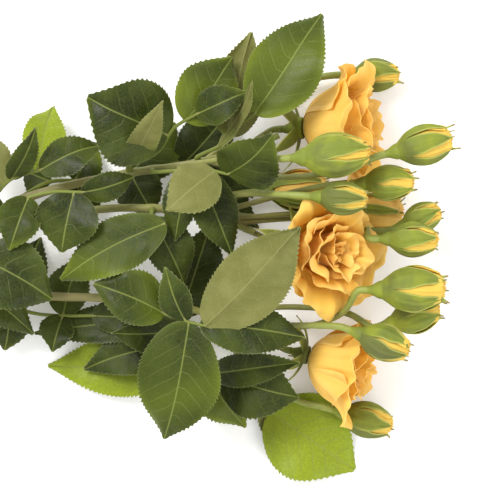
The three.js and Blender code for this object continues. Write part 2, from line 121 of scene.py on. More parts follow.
def bell(distance: np.ndarray, reach: float) -> np.ndarray:
    """Returns 1 at no distance, falling smoothly towards 0 beyond the reach."""
    return np.exp(-((distance / reach) ** 2))


def waves(position: np.ndarray, rng: np.random.Generator, cycles: Sequence[float]) -> np.ndarray:
    """Adds up a few sine waves with random phases.

    Args:
        position: where to read them, with 1 as the whole length.
        rng: the source of the phases.
        cycles: how many times each wave repeats over the length.

    Returns:
        Numbers mostly between -1 and 1.
    """
    total = np.zeros_like(position)
    for count in cycles:
        total += np.sin(FULL_TURN * count * position + rng.uniform(0.0, FULL_TURN))
    return total / math.sqrt(len(cycles))


def catmull(knots: np.ndarray, values: Sequence[float], where: np.ndarray) -> np.ndarray:
    """Reads a smooth curve through evenly spaced values.

    Args:
        knots: the places of the values.
        values: the values.
        where: the places to read.

    Returns:
        The values there.
    """
    padded = np.array([values[0], *values, values[-1]], float)
    position = (where - knots[0]) / (knots[1] - knots[0])
    i = np.clip(position.astype(int), 0, len(values) - 2)
    t = position - i
    a, b, c, d = (padded[i + k] for k in range(4))
    m0, m1 = (c - a) / 2.0, (d - b) / 2.0
    return (2 * b - 2 * c + m0 + m1) * t**3 + (-3 * b + 3 * c - 2 * m0 - m1) * t**2 + m0 * t + b


def around(radius: np.ndarray, turn: np.ndarray, height: np.ndarray) -> np.ndarray:
    """Places points around the +Z axis.

    Args:
        radius: their distances from the axis.
        turn: how far round it they are, in radians from +X.
        height: how far along it they are.

    Returns:
        A grid of points, of the shape that the three make together.
    """
    return np.stack(np.broadcast_arrays(radius * np.cos(turn), radius * np.sin(turn), height), axis=-1)


class Route:
    """A smooth line through points, read by its share of length."""

    STEPS = 48
    NEARBY = 0.004

    def __init__(self, points: Sequence[Point]) -> None:
        """Builds a centripetal Catmull-Rom curve.

        Args:
            points: the points that the line passes.
        """
        p = np.array(points, float)
        ends = np.vstack([2 * p[0] - p[1], p, 2 * p[-1] - p[-2]])
        t = np.linspace(0.0, 1.0, self.STEPS, endpoint=False)[:, None]
        rows = []
        for i in range(len(p) - 1):
            a, b, c, d = ends[i : i + 4]
            k0, k1, k2 = (math.sqrt(math.dist(*pair)) for pair in ((a, b), (b, c), (c, d)))
            first = ((b - a) / k0 - (c - a) / (k0 + k1) + (c - b) / k1) * k1
            last = ((c - b) / k1 - (d - b) / (k1 + k2) + (d - c) / k2) * k1
            cubic = 2 * b - 2 * c + first + last
            square = -3 * b + 3 * c - 2 * first - last
            rows.append(b + t * (first + t * (square + t * cubic)))
        self.line = np.vstack([*rows, p[-1:]])
        lengths = np.linalg.norm(np.diff(self.line, axis=0), axis=1)
        self.shares = np.concatenate([[0.0], np.cumsum(lengths)])
        self.length = float(self.shares[-1])
        self.shares /= self.length

    def at(self, share: float | np.ndarray) -> np.ndarray:
        """Returns the point or points at a share of the length."""
        return np.stack([np.interp(share, self.shares, self.line[:, k]) for k in range(3)], axis=-1)

    def heading(self, share: float) -> np.ndarray:
        """Returns the unit direction of travel at a share of the length."""
        return unit(self.at(min(1.0, share + self.NEARBY)) - self.at(max(0.0, share - self.NEARBY)))


# --------------------------------------------------------------------------------------------- surfaces
class Mark(Enum):
    """What a vertex knows about its place, for the finishes to read."""

    ALONG = "along"  # 0 at the foot of the piece, 1 at its tip
    ACROSS = "across"  # distance from its middle line, in millimetres
    RIM = "rim"  # distance from its edge, in millimetres
    FACE = "face"  # 1 on the upper or inner face, 0 on the other
    TONE = "tone"  # how young and light-coloured it is, from 0 to 1; on leaves high values also paint the glow of light shining through, and on sepals low values paint shade
    VEIN = "vein"  # counts up by one from each side vein to the next


Marks = dict[Mark, np.ndarray | float]


class Skin:
    """Gathers closed surfaces into one mesh."""

    SHARP = math.radians(50.0)

    def __init__(self) -> None:
        """Starts with nothing in it."""
        self.points: list[np.ndarray] = []
        self.quads: list[np.ndarray] = []
        self.marks: dict[Mark, list[np.ndarray]] = {mark: [] for mark in Mark}
        self.count = 0

    def add(self, points: np.ndarray, quads: np.ndarray, marks: Marks) -> None:
        """Adds vertices and faces.

        Args:
            points: vertex places, one row each.
            quads: rows of vertex numbers. A triangle repeats its last one.
            marks: a number or a row of numbers for each mark that isn't 0.
        """
        self.points.append(points)
        self.quads.append(quads + self.count)
        for mark, rows in self.marks.items():
            rows.append(np.broadcast_to(np.asarray(marks.get(mark, 0.0), float), len(points)))
        self.count += len(points)

    def add_sheet(
        self,
        middle: np.ndarray,
        above: np.ndarray | float,
        below: np.ndarray | float,
        marks: Marks,
        turned_over: bool = False,
    ) -> None:
        """Adds a thin closed solid around a grid of points.

        Args:
            middle: points by row along the sheet and column across it.
            above: how far the upper face is from them.
            below: how far the lower face is from them.
            marks: a number or a grid of numbers for each mark.
            turned_over: whether its upper face is the one that the finish takes for the lower.
        """
        m, n = middle.shape[:2]
        normal = unit(np.cross(np.gradient(middle, axis=0), np.gradient(middle, axis=1)))
        above = np.broadcast_to(np.asarray(above, float), (m, n))[..., None]
        below = np.broadcast_to(np.asarray(below, float), (m, n))[..., None]
        faces = (middle + normal * above, middle - normal * below)
        points = np.concatenate([face.reshape(-1, 3) for face in faces])
        index = np.arange(m * n).reshape(m, n)
        corners = [index[:-1, :-1], index[1:, :-1], index[1:, 1:], index[:-1, 1:]]
        top = np.stack([c.ravel() for c in corners], axis=1)
        under = top[:, ::-1] + m * n
        ring = np.concatenate([index[0, :-1], index[:-1, -1], index[-1, :0:-1], index[:0:-1, 0]])
        after = np.roll(ring, -1)
        wall = np.stack([ring, after, after + m * n, ring + m * n], axis=1)
        both = {}
        for mark, value in marks.items():
            grid = np.broadcast_to(np.asarray(value, float), (m, n)).ravel()
            both[mark] = np.concatenate([grid, grid])
        both[Mark.FACE] = np.repeat([0.0, 1.0] if turned_over else [1.0, 0.0], m * n)
        self.add(points, np.concatenate([top, under, wall]), both)

    def add_tube(
        self,
        line: np.ndarray,
        radii: np.ndarray,
        sides: int,
        marks: Marks,
    ) -> None:
        """Adds a round closed tube.

        Args:
            line: the points of its middle line.
            radii: its radius at each of them.
            sides: how many flat sides it has.
            marks: a number, or one number for each point, for each mark.
        """
        heading = unit(np.gradient(line, axis=0))
        side = np.empty_like(line)
        start = np.cross(heading[0], [0.0, 0.0, 1.0])
        side[0] = unit(start if np.linalg.norm(start) > 0.1 else np.cross(heading[0], [1.0, 0.0, 0.0]))
        for i in range(1, len(line)):
            side[i] = unit(side[i - 1] - heading[i] * float(np.dot(side[i - 1], heading[i])))
        up = np.cross(heading, side)
        angle = np.linspace(0.0, FULL_TURN, sides, endpoint=False)
        ring = side[:, None] * np.cos(angle)[None, :, None] + up[:, None] * np.sin(angle)[None, :, None]
        body = line[:, None] + ring * np.asarray(radii, float)[:, None, None]
        self.add_rings(body, line[0], line[-1], marks)

    def add_rings(
        self,
        body: np.ndarray,
        first: np.ndarray,
        last: np.ndarray,
        marks: Marks,
    ) -> None:
        """Adds a closed solid made of rings of points, with its two ends drawn to a point each.

        Args:
            body: points by ring and place in the ring, turning left as seen along the rings.
            first: the point that closes the first ring.
            last: the point that closes the last ring.
            marks: a number, or one number for each ring, for each mark.
        """
        m, n = body.shape[:2]
        points = np.concatenate([body.reshape(-1, 3), [first], [last]])
        index = np.arange(m * n).reshape(m, n)
        beside = np.roll(index, -1, axis=1)
        corners = [index[:-1], beside[:-1], beside[1:], index[1:]]
        quads = np.stack([c.ravel() for c in corners], axis=1)
        foot = np.full(n, m * n)
        head = foot + 1
        caps = [
            np.stack([beside[0], index[0], foot, foot], axis=1),
            np.stack([index[-1], beside[-1], head, head], axis=1),
        ]
        spread = {}
        for mark, value in marks.items():
            row = np.broadcast_to(np.asarray(value, float), m)
            spread[mark] = np.concatenate([np.repeat(row, n), row[:1], row[-1:]])
        self.add(points, np.concatenate([quads, *caps]), spread)

    def box_centre(self) -> np.ndarray:
        """Returns the middle of the box around everything in it."""
        points = np.concatenate(self.points)
        return (points.min(0) + points.max(0)) / 2.0

    def build(self, name: str, shift: np.ndarray, finish: Material) -> bpy.types.Object:
        """Turns it into an object in metres.

        Args:
            name: the object's name.
            shift: how far to move it, in millimetres.
            finish: its material.

        Returns:
            The new object, linked to the scene.
        """
        points = np.concatenate(self.points) + shift
        level = points[:, 2]
        pressed = np.interp(level, (SETTLE_FROM, SETTLE), (SETTLE_TO, SETTLE))
        points[:, 2] = np.where(level < SETTLE, pressed, level)
        points *= MM
        quads = np.concatenate(self.quads)
        triangle = quads[:, 2] == quads[:, 3]
        sizes = np.where(triangle, 3, 4)
        keep = np.ones(quads.shape, bool)
        keep[triangle, 3] = False
        mesh = bpy.data.meshes.new(name)
        mesh.vertices.add(len(points))
        mesh.vertices.foreach_set("co", points.astype(np.float32).ravel())
        mesh.loops.add(int(sizes.sum()))
        mesh.loops.foreach_set("vertex_index", quads[keep].astype(np.int32))
        mesh.polygons.add(len(quads))
        starts = np.concatenate([[0], np.cumsum(sizes)[:-1]]).astype(np.int32)
        mesh.polygons.foreach_set("loop_start", starts)
        mesh.update(calc_edges=True)
        mesh.validate()
        for mark, rows in self.marks.items():
            attribute = mesh.attributes.new(mark.value, "FLOAT", "POINT")
            attribute.data.foreach_set("value", np.concatenate(rows).astype(np.float32))
        mesh.polygons.foreach_set("use_smooth", np.ones(len(mesh.polygons), bool))
        mesh.set_sharp_from_angle(angle=self.SHARP)
        mesh.materials.append(finish)
        piece = bpy.data.objects.new(name, mesh)
        bpy.context.scene.collection.objects.link(piece)
        return piece


# --------------------------------------------------------------------------------------------- finishes
class Tree:
    """A node tree with short ways to add and join nodes."""

    def __init__(self, tree: bpy.types.NodeTree) -> None:
        """Keeps the tree that nodes are added to."""
        self.tree = tree

    def node(self, kind: str, **settings: object) -> bpy.types.Node:
        """Adds a node.

        Args:
            kind: its type name, without the ShaderNode in front.
            settings: properties of the node to set.

        Returns:
            The node.
        """
        made = self.tree.nodes.new("ShaderNode" + kind)
        for name, value in settings.items():
            setattr(made, name, value)
        return made

    def feed(self, socket: bpy.types.NodeSocket, value: object) -> None:
        """Joins a socket to a socket, or sets it to a number or a colour.

        Args:
            socket: the socket that takes the value.
            value: a socket, a number or a colour.
        """
        if isinstance(value, bpy.types.NodeSocket):
            self.tree.links.new(value, socket)
        elif isinstance(value, tuple) and len(value) == 3 and socket.type == "RGBA":
            socket.default_value = (*value, 1.0)
        else:
            socket.default_value = value

    def sum(self, operation: str, *values: object) -> bpy.types.NodeSocket:
        """Adds a Math node.

        Args:
            operation: such as MULTIPLY.
            values: its numbers or sockets, in order.

        Returns:
            Its result.
        """
        made = self.node("Math", operation=operation)
        for socket, value in zip(made.inputs, values):
            self.feed(socket, value)
        return made.outputs[0]

    def times(self, a: object, b: object) -> bpy.types.NodeSocket:
        """Multiplies two numbers."""
        return self.sum("MULTIPLY", a, b)

    def blend(self, share: object, a: object, b: object) -> bpy.types.NodeSocket:
        """Mixes two colours.

        Args:
            share: 0 for the first and 1 for the second.
            a: the first colour.
            b: the second colour.

        Returns:
            The mixed colour.
        """
        made = self.node("Mix", data_type="RGBA", clamp_factor=True)
        self.feed(made.inputs[0], share)
        self.feed(made.inputs[6], a)
        self.feed(made.inputs[7], b)
        return made.outputs[2]

    def between(
        self,
        value: object,
        low: object,
        high: object,
        a: float = 0.0,
        b: float = 1.0,
    ) -> bpy.types.NodeSocket:
        """Maps a number smoothly from one range onto another.

        Args:
            value: the number.
            low: where the first range starts.
            high: where the first range ends.
            a: where the second range starts.
            b: where the second range ends.

        Returns:
            The number in the second range.
        """
        made = self.node("MapRange", interpolation_type="SMOOTHSTEP")
        for socket, given in zip(made.inputs, (value, low, high, a, b)):
            self.feed(socket, given)
        return made.outputs[0]

    def mark(self, mark: Mark) -> bpy.types.NodeSocket:
        """Reads a mark of the surface."""
        return self.node("Attribute", attribute_name=mark.value).outputs["Fac"]

    def place(self, scale: Point = (1.0, 1.0, 1.0)) -> bpy.types.NodeSocket:
        """Gives places on the object.

        Args:
            scale: how much to multiply them by, along each axis.

        Returns:
            The object coordinates in metres, multiplied.
        """
        made = self.node("Mapping")
        self.feed(made.inputs["Vector"], self.node("TexCoord").outputs["Object"])
        made.inputs["Scale"].default_value = scale
        return made.outputs["Vector"]

    def noise(self, where: bpy.types.NodeSocket, scale: float, detail: float = 3.0) -> bpy.types.NodeSocket:
        """Adds a soft random pattern.

        Args:
            where: the places to read it at.
            scale: its waves per metre.
            detail: how many finer layers it has.

        Returns:
            A value from 0 to 1.
        """
        made = self.node("TexNoise")
        self.feed(made.inputs["Vector"], where)
        made.inputs["Scale"].default_value = scale
        made.inputs["Detail"].default_value = detail
        return made.outputs["Fac"]

    def cells(self, where: bpy.types.NodeSocket, scale: float) -> bpy.types.NodeSocket:
        """Adds a pattern of small irregular cells.

        Args:
            where: the places to read it at.
            scale: its cells per metre.

        Returns:
            The distance from the nearest cell wall.
        """
        made = self.node("TexVoronoi", feature="DISTANCE_TO_EDGE")
        self.feed(made.inputs["Vector"], where)
        made.inputs["Scale"].default_value = scale
        return made.outputs["Distance"]


class Group(Tree):
    """A shader node group with named inputs and outputs, built once."""

    def __init__(self, name: str, takes: dict[str, str], gives: dict[str, str]) -> None:
        """Makes the group's sockets.

        Args:
            name: the group's name.
            takes: socket type by input name.
            gives: socket type by output name.
        """
        super().__init__(bpy.data.node_groups.new(name, "ShaderNodeTree"))
        for names, way in ((takes, "INPUT"), (gives, "OUTPUT")):
            for label, kind in names.items():
                self.tree.interface.new_socket(label, in_out=way, socket_type="NodeSocket" + kind)
        self.inside = self.tree.nodes.new("NodeGroupInput").outputs
        self.out = self.tree.nodes.new("NodeGroupOutput").inputs

    def use(self, tree: Tree, **values: object) -> bpy.types.bpy_prop_collection:
        """Places the group in a tree.

        Args:
            tree: where it goes.
            values: numbers, colours or sockets for its inputs, with _ for a space in a name.

        Returns:
            Its outputs.
        """
        made = tree.node("Group", node_tree=self.tree)
        for name, value in values.items():
            tree.feed(made.inputs[name.replace("_", " ")], value)
        return made.outputs


def mottle_group() -> Group:
    """Builds the group that varies a colour in soft patches and fine specks."""
    group = Group(
        "Mottle",
        {"Colour": "Color", "Second": "Color", "Patch Size": "Float", "Amount": "Float"},
        {"Colour": "Color", "Patches": "Float"},
    )
    noise = group.node("TexNoise")
    group.feed(noise.inputs["Vector"], group.place())
    group.feed(noise.inputs["Scale"], group.inside["Patch Size"])
    noise.inputs["Detail"].default_value = 4.0
    patches = group.between(noise.outputs["Fac"], 0.35, 0.68)
    group.feed(group.out["Patches"], patches)
    share = group.times(patches, group.inside["Amount"])
    group.feed(group.out["Colour"], group.blend(share, group.inside["Colour"], group.inside["Second"]))
    return group


def vein_group() -> Group:
    """Builds the group that draws a leaf's midrib, its side veins and the fine net between them."""
    group = Group(
        "Leaf veins",
        {"Vein": "Float", "Across": "Float", "Rim": "Float"},
        {"Midrib": "Float", "Side Veins": "Float", "Net": "Float", "Height": "Float"},
    )
    across = group.sum("ABSOLUTE", group.inside["Across"])
    midrib = group.between(across, 0.12, 0.55, 1.0, 0.0)
    offset = group.sum("ABSOLUTE", group.sum("SUBTRACT", group.sum("FRACT", group.inside["Vein"]), 0.5))
    width = group.between(group.inside["Rim"], 0.0, 9.0, 0.02, 0.05)
    side = group.between(group.sum("SUBTRACT", 0.5, offset), 0.0, width, 1.0, 0.0)
    side = group.times(side, group.between(group.inside["Rim"], 0.3, 2.0))
    net = group.between(group.cells(group.place(), 620.0), 0.0, 0.11, 1.0, 0.0)
    group.feed(group.out["Midrib"], midrib)
    group.feed(group.out["Side Veins"], side)
    group.feed(group.out["Net"], net)
    height = group.sum("MULTIPLY_ADD", side, -0.7, group.times(net, -0.22))
    group.feed(group.out["Height"], group.sum("MULTIPLY_ADD", midrib, -0.8, height))
    return group


def streak_group() -> Group:
    """Builds the group that gives fine lines from the foot of a petal or sepal to its rim."""
    group = Group(
        "Streaks",
        {"Along": "Float", "Across": "Float", "Fineness": "Float"},
        {"Lines": "Float", "Height": "Float"},
    )
    join = group.node("CombineXYZ")
    group.feed(join.inputs[0], group.times(group.inside["Across"], group.inside["Fineness"]))
    group.feed(join.inputs[1], group.times(group.inside["Along"], 2.2))
    lines = group.noise(join.outputs[0], 1.0, 5.0)
    group.feed(group.out["Lines"], group.between(lines, 0.3, 0.7))
    group.feed(group.out["Height"], lines)
    return group


class Finishes:
    """Makes each material once, and the node groups that they share."""

    def __init__(self) -> None:
        """Builds the shared groups."""
        self.mottle = mottle_group()
        self.veins = vein_group()
        self.streaks = streak_group()

    def start(self, name: str) -> tuple[Material, Tree, bpy.types.Node]:
        """Makes an empty material.

        Args:
            name: the material's name.

        Returns:
            The material, its tree and its Principled node.
        """
        material = bpy.data.materials.new(name)
        material.use_nodes = True
        material.node_tree.nodes.clear()
        tree = Tree(material.node_tree)
        shader = tree.node("BsdfPrincipled")
        out = tree.node("OutputMaterial")
        tree.tree.links.new(shader.outputs[0], out.inputs[0])
        return material, tree, shader

    def see_through(self, tree: Tree, shader: bpy.types.Node, colour: object, share: float) -> None:
        """Lets light from behind shine through a thin piece.

        Args:
            tree: the material's tree.
            shader: its Principled node.
            colour: the colour of the light that comes through.
            share: how much of the surface's light comes from behind.
        """
        glow = tree.node("BsdfTranslucent")
        tree.feed(glow.inputs["Color"], colour)
        both = tree.node("MixShader")
        both.inputs[0].default_value = share
        tree.tree.links.new(shader.outputs[0], both.inputs[1])
        tree.tree.links.new(glow.outputs[0], both.inputs[2])
        out = next(n for n in tree.tree.nodes if n.type == "OUTPUT_MATERIAL")
        tree.tree.links.new(both.outputs[0], out.inputs[0])

    def bump(self, tree: Tree, shader: bpy.types.Node, height: object, depth: float, strength: float) -> None:
        """Makes a surface uneven.

        Args:
            tree: the material's tree.
            shader: its Principled node.
            height: how high the surface stands, in shares of the depth.
            depth: the depth in metres.
            strength: how much of it shows.
        """
        made = tree.node("Bump")
        made.inputs["Strength"].default_value = strength
        made.inputs["Distance"].default_value = depth
        tree.feed(made.inputs["Height"], height)
        tree.tree.links.new(made.outputs[0], shader.inputs["Normal"])


@dataclass(frozen=True)
class LeafFinish:
    """Glossy dark green above and matte pale grey-green below, with paler veins and edge, and painted glow: a
    bright yellow-green where the tone is high, for light shining through the blade from below.
    """

    dark: Colour = (0.014, 0.022, 0.004)
    fresh: Colour = (0.064, 0.088, 0.009)
    # painted glow: the yellow-green of a blade lit through from below, used where the tone is high
    bright: Colour = (0.310, 0.390, 0.020)
    rib: Colour = (0.270, 0.310, 0.070)
    edge: Colour = (0.360, 0.380, 0.160)
    under: Colour = (0.175, 0.180, 0.045)
    under_rib: Colour = (0.290, 0.290, 0.100)
    top_roughness: tuple[float, float] = (0.36, 0.5)
    under_roughness: float = 0.68
    specular: float = 0.2
    shine_through: float = 0.2
    vein_depth: float = 0.0002

    def make(self, finishes: Finishes) -> Material:
        """Builds the material.

        Args:
            finishes: the shared groups.

        Returns:
            The material.
        """
        material, tree, shader = finishes.start("leaf")
        face, tone, rim = (tree.mark(mark) for mark in (Mark.FACE, Mark.TONE, Mark.RIM))
        veins = finishes.veins.use(tree, Vein=tree.mark(Mark.VEIN), Across=tree.mark(Mark.ACROSS), Rim=rim)
        base = finishes.mottle.use(tree, Colour=self.dark, Second=self.fresh, Patch_Size=55.0, Amount=0.75)
        top = tree.blend(tree.between(tone, 0.1, 0.45), base["Colour"], self.fresh)
        # painted glow: blades of high tone take the bright yellow-green of light shining through them
        top = tree.blend(tree.between(tone, 0.3, 1.0), top, self.bright)
        fine = tree.noise(tree.place(), 900.0, 4.0)
        top = tree.blend(tree.between(fine, 0.3, 0.7, 0.0, 0.25), top, self.fresh)
        top = tree.blend(tree.times(veins["Net"], 0.08), top, self.rib)
        strong = tree.between(tone, 0.1, 0.8, 0.2, 0.6)
        top = tree.blend(tree.times(veins["Side Veins"], strong), top, self.rib)
        top = tree.blend(tree.times(veins["Midrib"], 0.6), top, self.rib)
        pale = finishes.mottle.use(
            tree, Colour=self.under, Second=self.under_rib, Patch_Size=90.0, Amount=0.4
        )
        below = tree.blend(tree.times(veins["Net"], 0.25), pale["Colour"], self.under_rib)
        below = tree.blend(tree.times(veins["Side Veins"], 0.4), below, self.under_rib)
        below = tree.blend(tree.times(veins["Midrib"], 0.7), below, self.under_rib)
        # painted glow on the underside too, for blades of high tone lit through from below
        below = tree.blend(tree.between(tone, 0.3, 1.0, 0.0, 0.6), below, self.bright)
        colour = tree.blend(face, below, top)
        colour = tree.blend(tree.between(rim, 0.1, 0.4, 0.3, 0.0), colour, self.edge)
        tree.feed(shader.inputs["Base Color"], colour)
        shader.inputs["Specular IOR Level"].default_value = self.specular
        rough = tree.node("Mix", data_type="FLOAT")
        tree.feed(rough.inputs[0], face)
        tree.feed(rough.inputs[2], self.under_roughness)
        tree.feed(rough.inputs[3], tree.between(base["Patches"], 0.0, 1.0, *self.top_roughness))
        tree.feed(shader.inputs["Roughness"], rough.outputs[0])
        way = tree.sum("MULTIPLY_ADD", face, 2.0, -1.0)
        height = tree.sum("MULTIPLY_ADD", veins["Height"], way, tree.times(fine, 0.15))
        finishes.bump(tree, shader, height, self.vein_depth, 0.7)
        finishes.see_through(tree, shader, tree.blend(0.35, colour, self.bright), self.shine_through)
        return material


@dataclass(frozen=True)
class PetalFinish:
    """Velvety golden yellow, deeper orange towards the foot and paler at the rim, where the pale colour is
    partly the petal's own and partly a painted highlight.
    """

    deep: Colour = (0.990, 0.610, 0.090)
    golden: Colour = (0.990, 0.670, 0.115)
    # paler edge colour, partly the petal's own and partly a painted highlight; also the colour of lighter
    # patches
    rim: Colour = (0.990, 0.760, 0.270)
    outside: Colour = (0.990, 0.715, 0.180)
    lemon: Colour = (0.900, 0.700, 0.110)
    foot: Colour = (0.620, 0.600, 0.130)
    roughness: tuple[float, float] = (0.5, 0.66)
    specular: float = 0.35
    sheen: float = 0.1
    shine_through: float = 0.4
    wrinkle_depth: float = 0.0003

    def make(self, finishes: Finishes) -> Material:
        """Builds the material.

        Args:
            finishes: the shared groups.

        Returns:
            The material.
        """
        material, tree, shader = finishes.start("petal")
        face, along, rim = (tree.mark(mark) for mark in (Mark.FACE, Mark.ALONG, Mark.RIM))
        tone = tree.mark(Mark.TONE)
        lines = finishes.streaks.use(tree, Along=along, Across=tree.mark(Mark.ACROSS), Fineness=1.3)
        inner = tree.blend(tree.between(along, 0.15, 0.9), self.deep, self.golden)
        outer = tree.blend(tree.between(along, 0.1, 0.8), self.golden, self.outside)
        colour = tree.blend(face, outer, inner)
        patchy = finishes.mottle.use(tree, Colour=colour, Second=self.rim, Patch_Size=70.0, Amount=0.28)
        # paler towards the rim: partly the petal's own colour, partly a painted highlight
        colour = tree.blend(tree.between(rim, 0.2, 5.0, 0.55, 0.0), patchy["Colour"], self.rim)
        colour = tree.blend(tone, colour, self.lemon)
        colour = tree.blend(tree.between(along, 0.0, 0.16, 0.8, 0.0), colour, self.foot)
        colour = tree.blend(tree.times(lines["Lines"], 0.12), colour, self.deep)
        tree.feed(shader.inputs["Base Color"], colour)
        tree.feed(shader.inputs["Roughness"], tree.between(lines["Lines"], 0.0, 1.0, *self.roughness))
        shader.inputs["Specular IOR Level"].default_value = self.specular
        shader.inputs["Sheen Weight"].default_value = self.sheen
        wrinkles = tree.noise(tree.place(), 240.0, 4.0)
        height = tree.sum("MULTIPLY_ADD", wrinkles, 2.2, lines["Height"])
        finishes.bump(tree, shader, height, self.wrinkle_depth, 0.8)
        finishes.see_through(tree, shader, tree.blend(0.3, colour, self.golden), self.shine_through)
        return material


@dataclass(frozen=True)
class CalyxFinish:
    """Satin yellow-green hips and sepals, with pale edges, brown tails, darker olive patches and veins, and
    painted shade on sepals of low tone.
    """

    hip: Colour = (0.200, 0.250, 0.030)
    sepal: Colour = (0.310, 0.350, 0.030)
    # a darker olive for random patches and veins, and painted shade on sepals of low tone
    shade: Colour = (0.120, 0.132, 0.036)
    pale: Colour = (0.560, 0.560, 0.140)
    tail: Colour = (0.260, 0.180, 0.080)
    roughness: tuple[float, float] = (0.6, 0.75)
    specular: float = 0.3
    shine_through: float = 0.12
    line_depth: float = 0.00035

    def make(self, finishes: Finishes) -> Material:
        """Builds the material.

        Args:
            finishes: the shared groups.

        Returns:
            The material.
        """
        material, tree, shader = finishes.start("calyx")
        along, rim, tone = (tree.mark(mark) for mark in (Mark.ALONG, Mark.RIM, Mark.TONE))
        lines = finishes.streaks.use(tree, Along=along, Across=tree.mark(Mark.ACROSS), Fineness=2.4)
        skin = finishes.mottle.use(tree, Colour=self.hip, Second=self.sepal, Patch_Size=130.0, Amount=0.8)
        olive = tree.between(tree.noise(tree.place(), 75.0, 5.0), 0.46, 0.72, 0.0, 0.7)
        colour = tree.blend(olive, skin["Colour"], self.shade)
        # painted shade: sepals of low tone take the darker olive of shaded sepals, and those of high tone the
        # lit sepal green
        colour = tree.blend(tree.between(tone, 0.0, 0.4, 0.75, 0.0), colour, self.shade)
        colour = tree.blend(tree.between(tone, 0.5, 1.0, 0.0, 0.4), colour, self.sepal)
        colour = tree.blend(tree.times(lines["Lines"], 0.22), colour, self.shade)
        specks = tree.between(tree.noise(tree.place(), 900.0, 2.0), 0.68, 0.76, 0.0, 0.6)
        colour = tree.blend(specks, colour, self.tail)
        edge = tree.times(tree.between(rim, 0.1, 0.8, 0.6, 0.0), tree.between(along, 0.15, 0.4))
        colour = tree.blend(edge, colour, self.pale)
        colour = tree.blend(tree.between(along, 0.86, 1.0), colour, self.tail)
        tree.feed(shader.inputs["Base Color"], colour)
        tree.feed(shader.inputs["Roughness"], tree.between(skin["Patches"], 0.0, 1.0, *self.roughness))
        uneven = tree.sum("MULTIPLY_ADD", tree.noise(tree.place(), 330.0, 3.0), 1.6, lines["Height"])
        height = tree.sum("MULTIPLY_ADD", tree.noise(tree.place(), 2200.0, 2.0), 0.4, uneven)
        shader.inputs["Specular IOR Level"].default_value = self.specular
        finishes.bump(tree, shader, height, self.line_depth, 0.8)
        finishes.see_through(tree, shader, tree.blend(0.3, colour, self.pale), self.shine_through)
        return material


@dataclass(frozen=True)
class BarkFinish:
    """Smooth olive bark with brown patches, pale specks and yellow-green young stalks."""

    olive: Colour = (0.250, 0.225, 0.075)
    brown: Colour = (0.180, 0.120, 0.055)
    young: Colour = (0.235, 0.285, 0.040)
    pith: Colour = (0.640, 0.620, 0.420)
    roughness: tuple[float, float] = (0.42, 0.6)
    groove_depth: float = 0.0003

    def make(self, finishes: Finishes) -> Material:
        """Builds the material.

        Args:
            finishes: the shared groups.

        Returns:
            The material.
        """
        material, tree, shader = finishes.start("stem_bark")
        tone = tree.mark(Mark.TONE)
        bark = finishes.mottle.use(tree, Colour=self.olive, Second=self.brown, Patch_Size=32.0, Amount=0.7)
        long_lines = tree.noise(tree.place((0.12, 1.0, 1.0)), 1100.0, 4.0)
        colour = tree.blend(tree.between(tone, 0.15, 0.9), bark["Colour"], self.young)
        colour = tree.blend(tree.between(long_lines, 0.45, 0.75, 0.0, 0.35), colour, self.brown)
        specks = tree.between(tree.cells(tree.place((0.5, 1.0, 1.0)), 260.0), 0.42, 0.5, 0.0, 0.5)
        colour = tree.blend(specks, colour, self.pith)
        colour = tree.blend(tree.between(tree.mark(Mark.RIM), 0.5, 1.0), colour, self.pith)
        tree.feed(shader.inputs["Base Color"], colour)
        tree.feed(shader.inputs["Roughness"], tree.between(long_lines, 0.3, 0.7, *self.roughness))
        finishes.bump(tree, shader, long_lines, self.groove_depth, 0.6)
        return material


# --------------------------------------------------------------------------------------------- the stem
@dataclass
class Shoot:
    """One woody stretch of the stem."""

    points: Sequence[Point]
    first_radius: float
    last_radius: float
    route: Route = field(init=False)

    def __post_init__(self) -> None:
        """Draws the line through the points."""
        self.route = Route(self.points)

    def radius(self, share: float | np.ndarray) -> float | np.ndarray:
        """Returns the radius at a share of its length."""
        return self.first_radius + (self.last_radius - self.first_radius) * share


FORK = (-152, 3, 12.8)
SHOOTS = {
    "cane": Shoot([(-308, -8, 3.2), (-250, -3, 5), (-200, 1, 8), (-148, 3, 13)], 3.0, 2.8),
    "upper": Shoot(
        [FORK, (-125, 13, 17), (-98, 25, 22), (-60, 34, 28), (-22, 40, 31), (2, 47, 33), (13, 52, 34)],
        2.3,
        1.5,
    ),
    "middle": Shoot(
        [FORK, (-125, 7, 20), (-100, 13, 26), (-60, 19, 31), (-20, 16, 31), (2, 8, 30)],
        2.3,
        1.5,
    ),
    "lower": Shoot(
        [FORK, (-125, -10, 15), (-98, -20, 18), (-65, -22, 21), (-30, -26, 22), (0, -36, 22), (12, -40, 23)],
        2.3,
        1.5,
    ),
}


@dataclass
class Head:
    """Where a flower or bud grows, how far it has opened, and how its stalk gets there.

    The outer petals have their lengths as shares of the usual one. A bud whose sepals have parted shows more
    of its petals, which are golden by then.
    """

    base: Point
    facing: Point
    size: float
    open: float
    turn: float
    shoot: str
    at: float
    via: Sequence[Point] = ()
    lengths: Sequence[float] = (1.0, 1.0, 1.0, 1.0, 1.0)
    parted: float = 0.0

    STRAIGHT = 4.0  # the last stretch of the stalk, in line with the head

    def axis(self) -> np.ndarray:
        """Returns the unit vector that the head faces."""
        return unit(np.array(self.facing, float))

    def stalk(self) -> Route:
        """Returns the line of its stalk, from the middle of the shoot to the foot of the hip."""
        end = np.array(self.base, float) - self.axis() * GAP
        start = SHOOTS[self.shoot].route.at(self.at)
        return Route([start, *self.via, end - self.axis() * self.STRAIGHT, end])

    def placed(self, local: np.ndarray) -> np.ndarray:
        """Moves points whose axis is +Z to where the head grows.

        Args:
            local: rows or a grid of points, with the foot of the hip at the origin.

        Returns:
            The same points in the layout.
        """
        turn = Vector((0.0, 0.0, 1.0)).rotation_difference(Vector(self.axis()))
        matrix = np.array(turn.to_matrix())
        moved = local.reshape(-1, 3) @ matrix.T + np.array(self.base, float)
        return moved.reshape(local.shape)


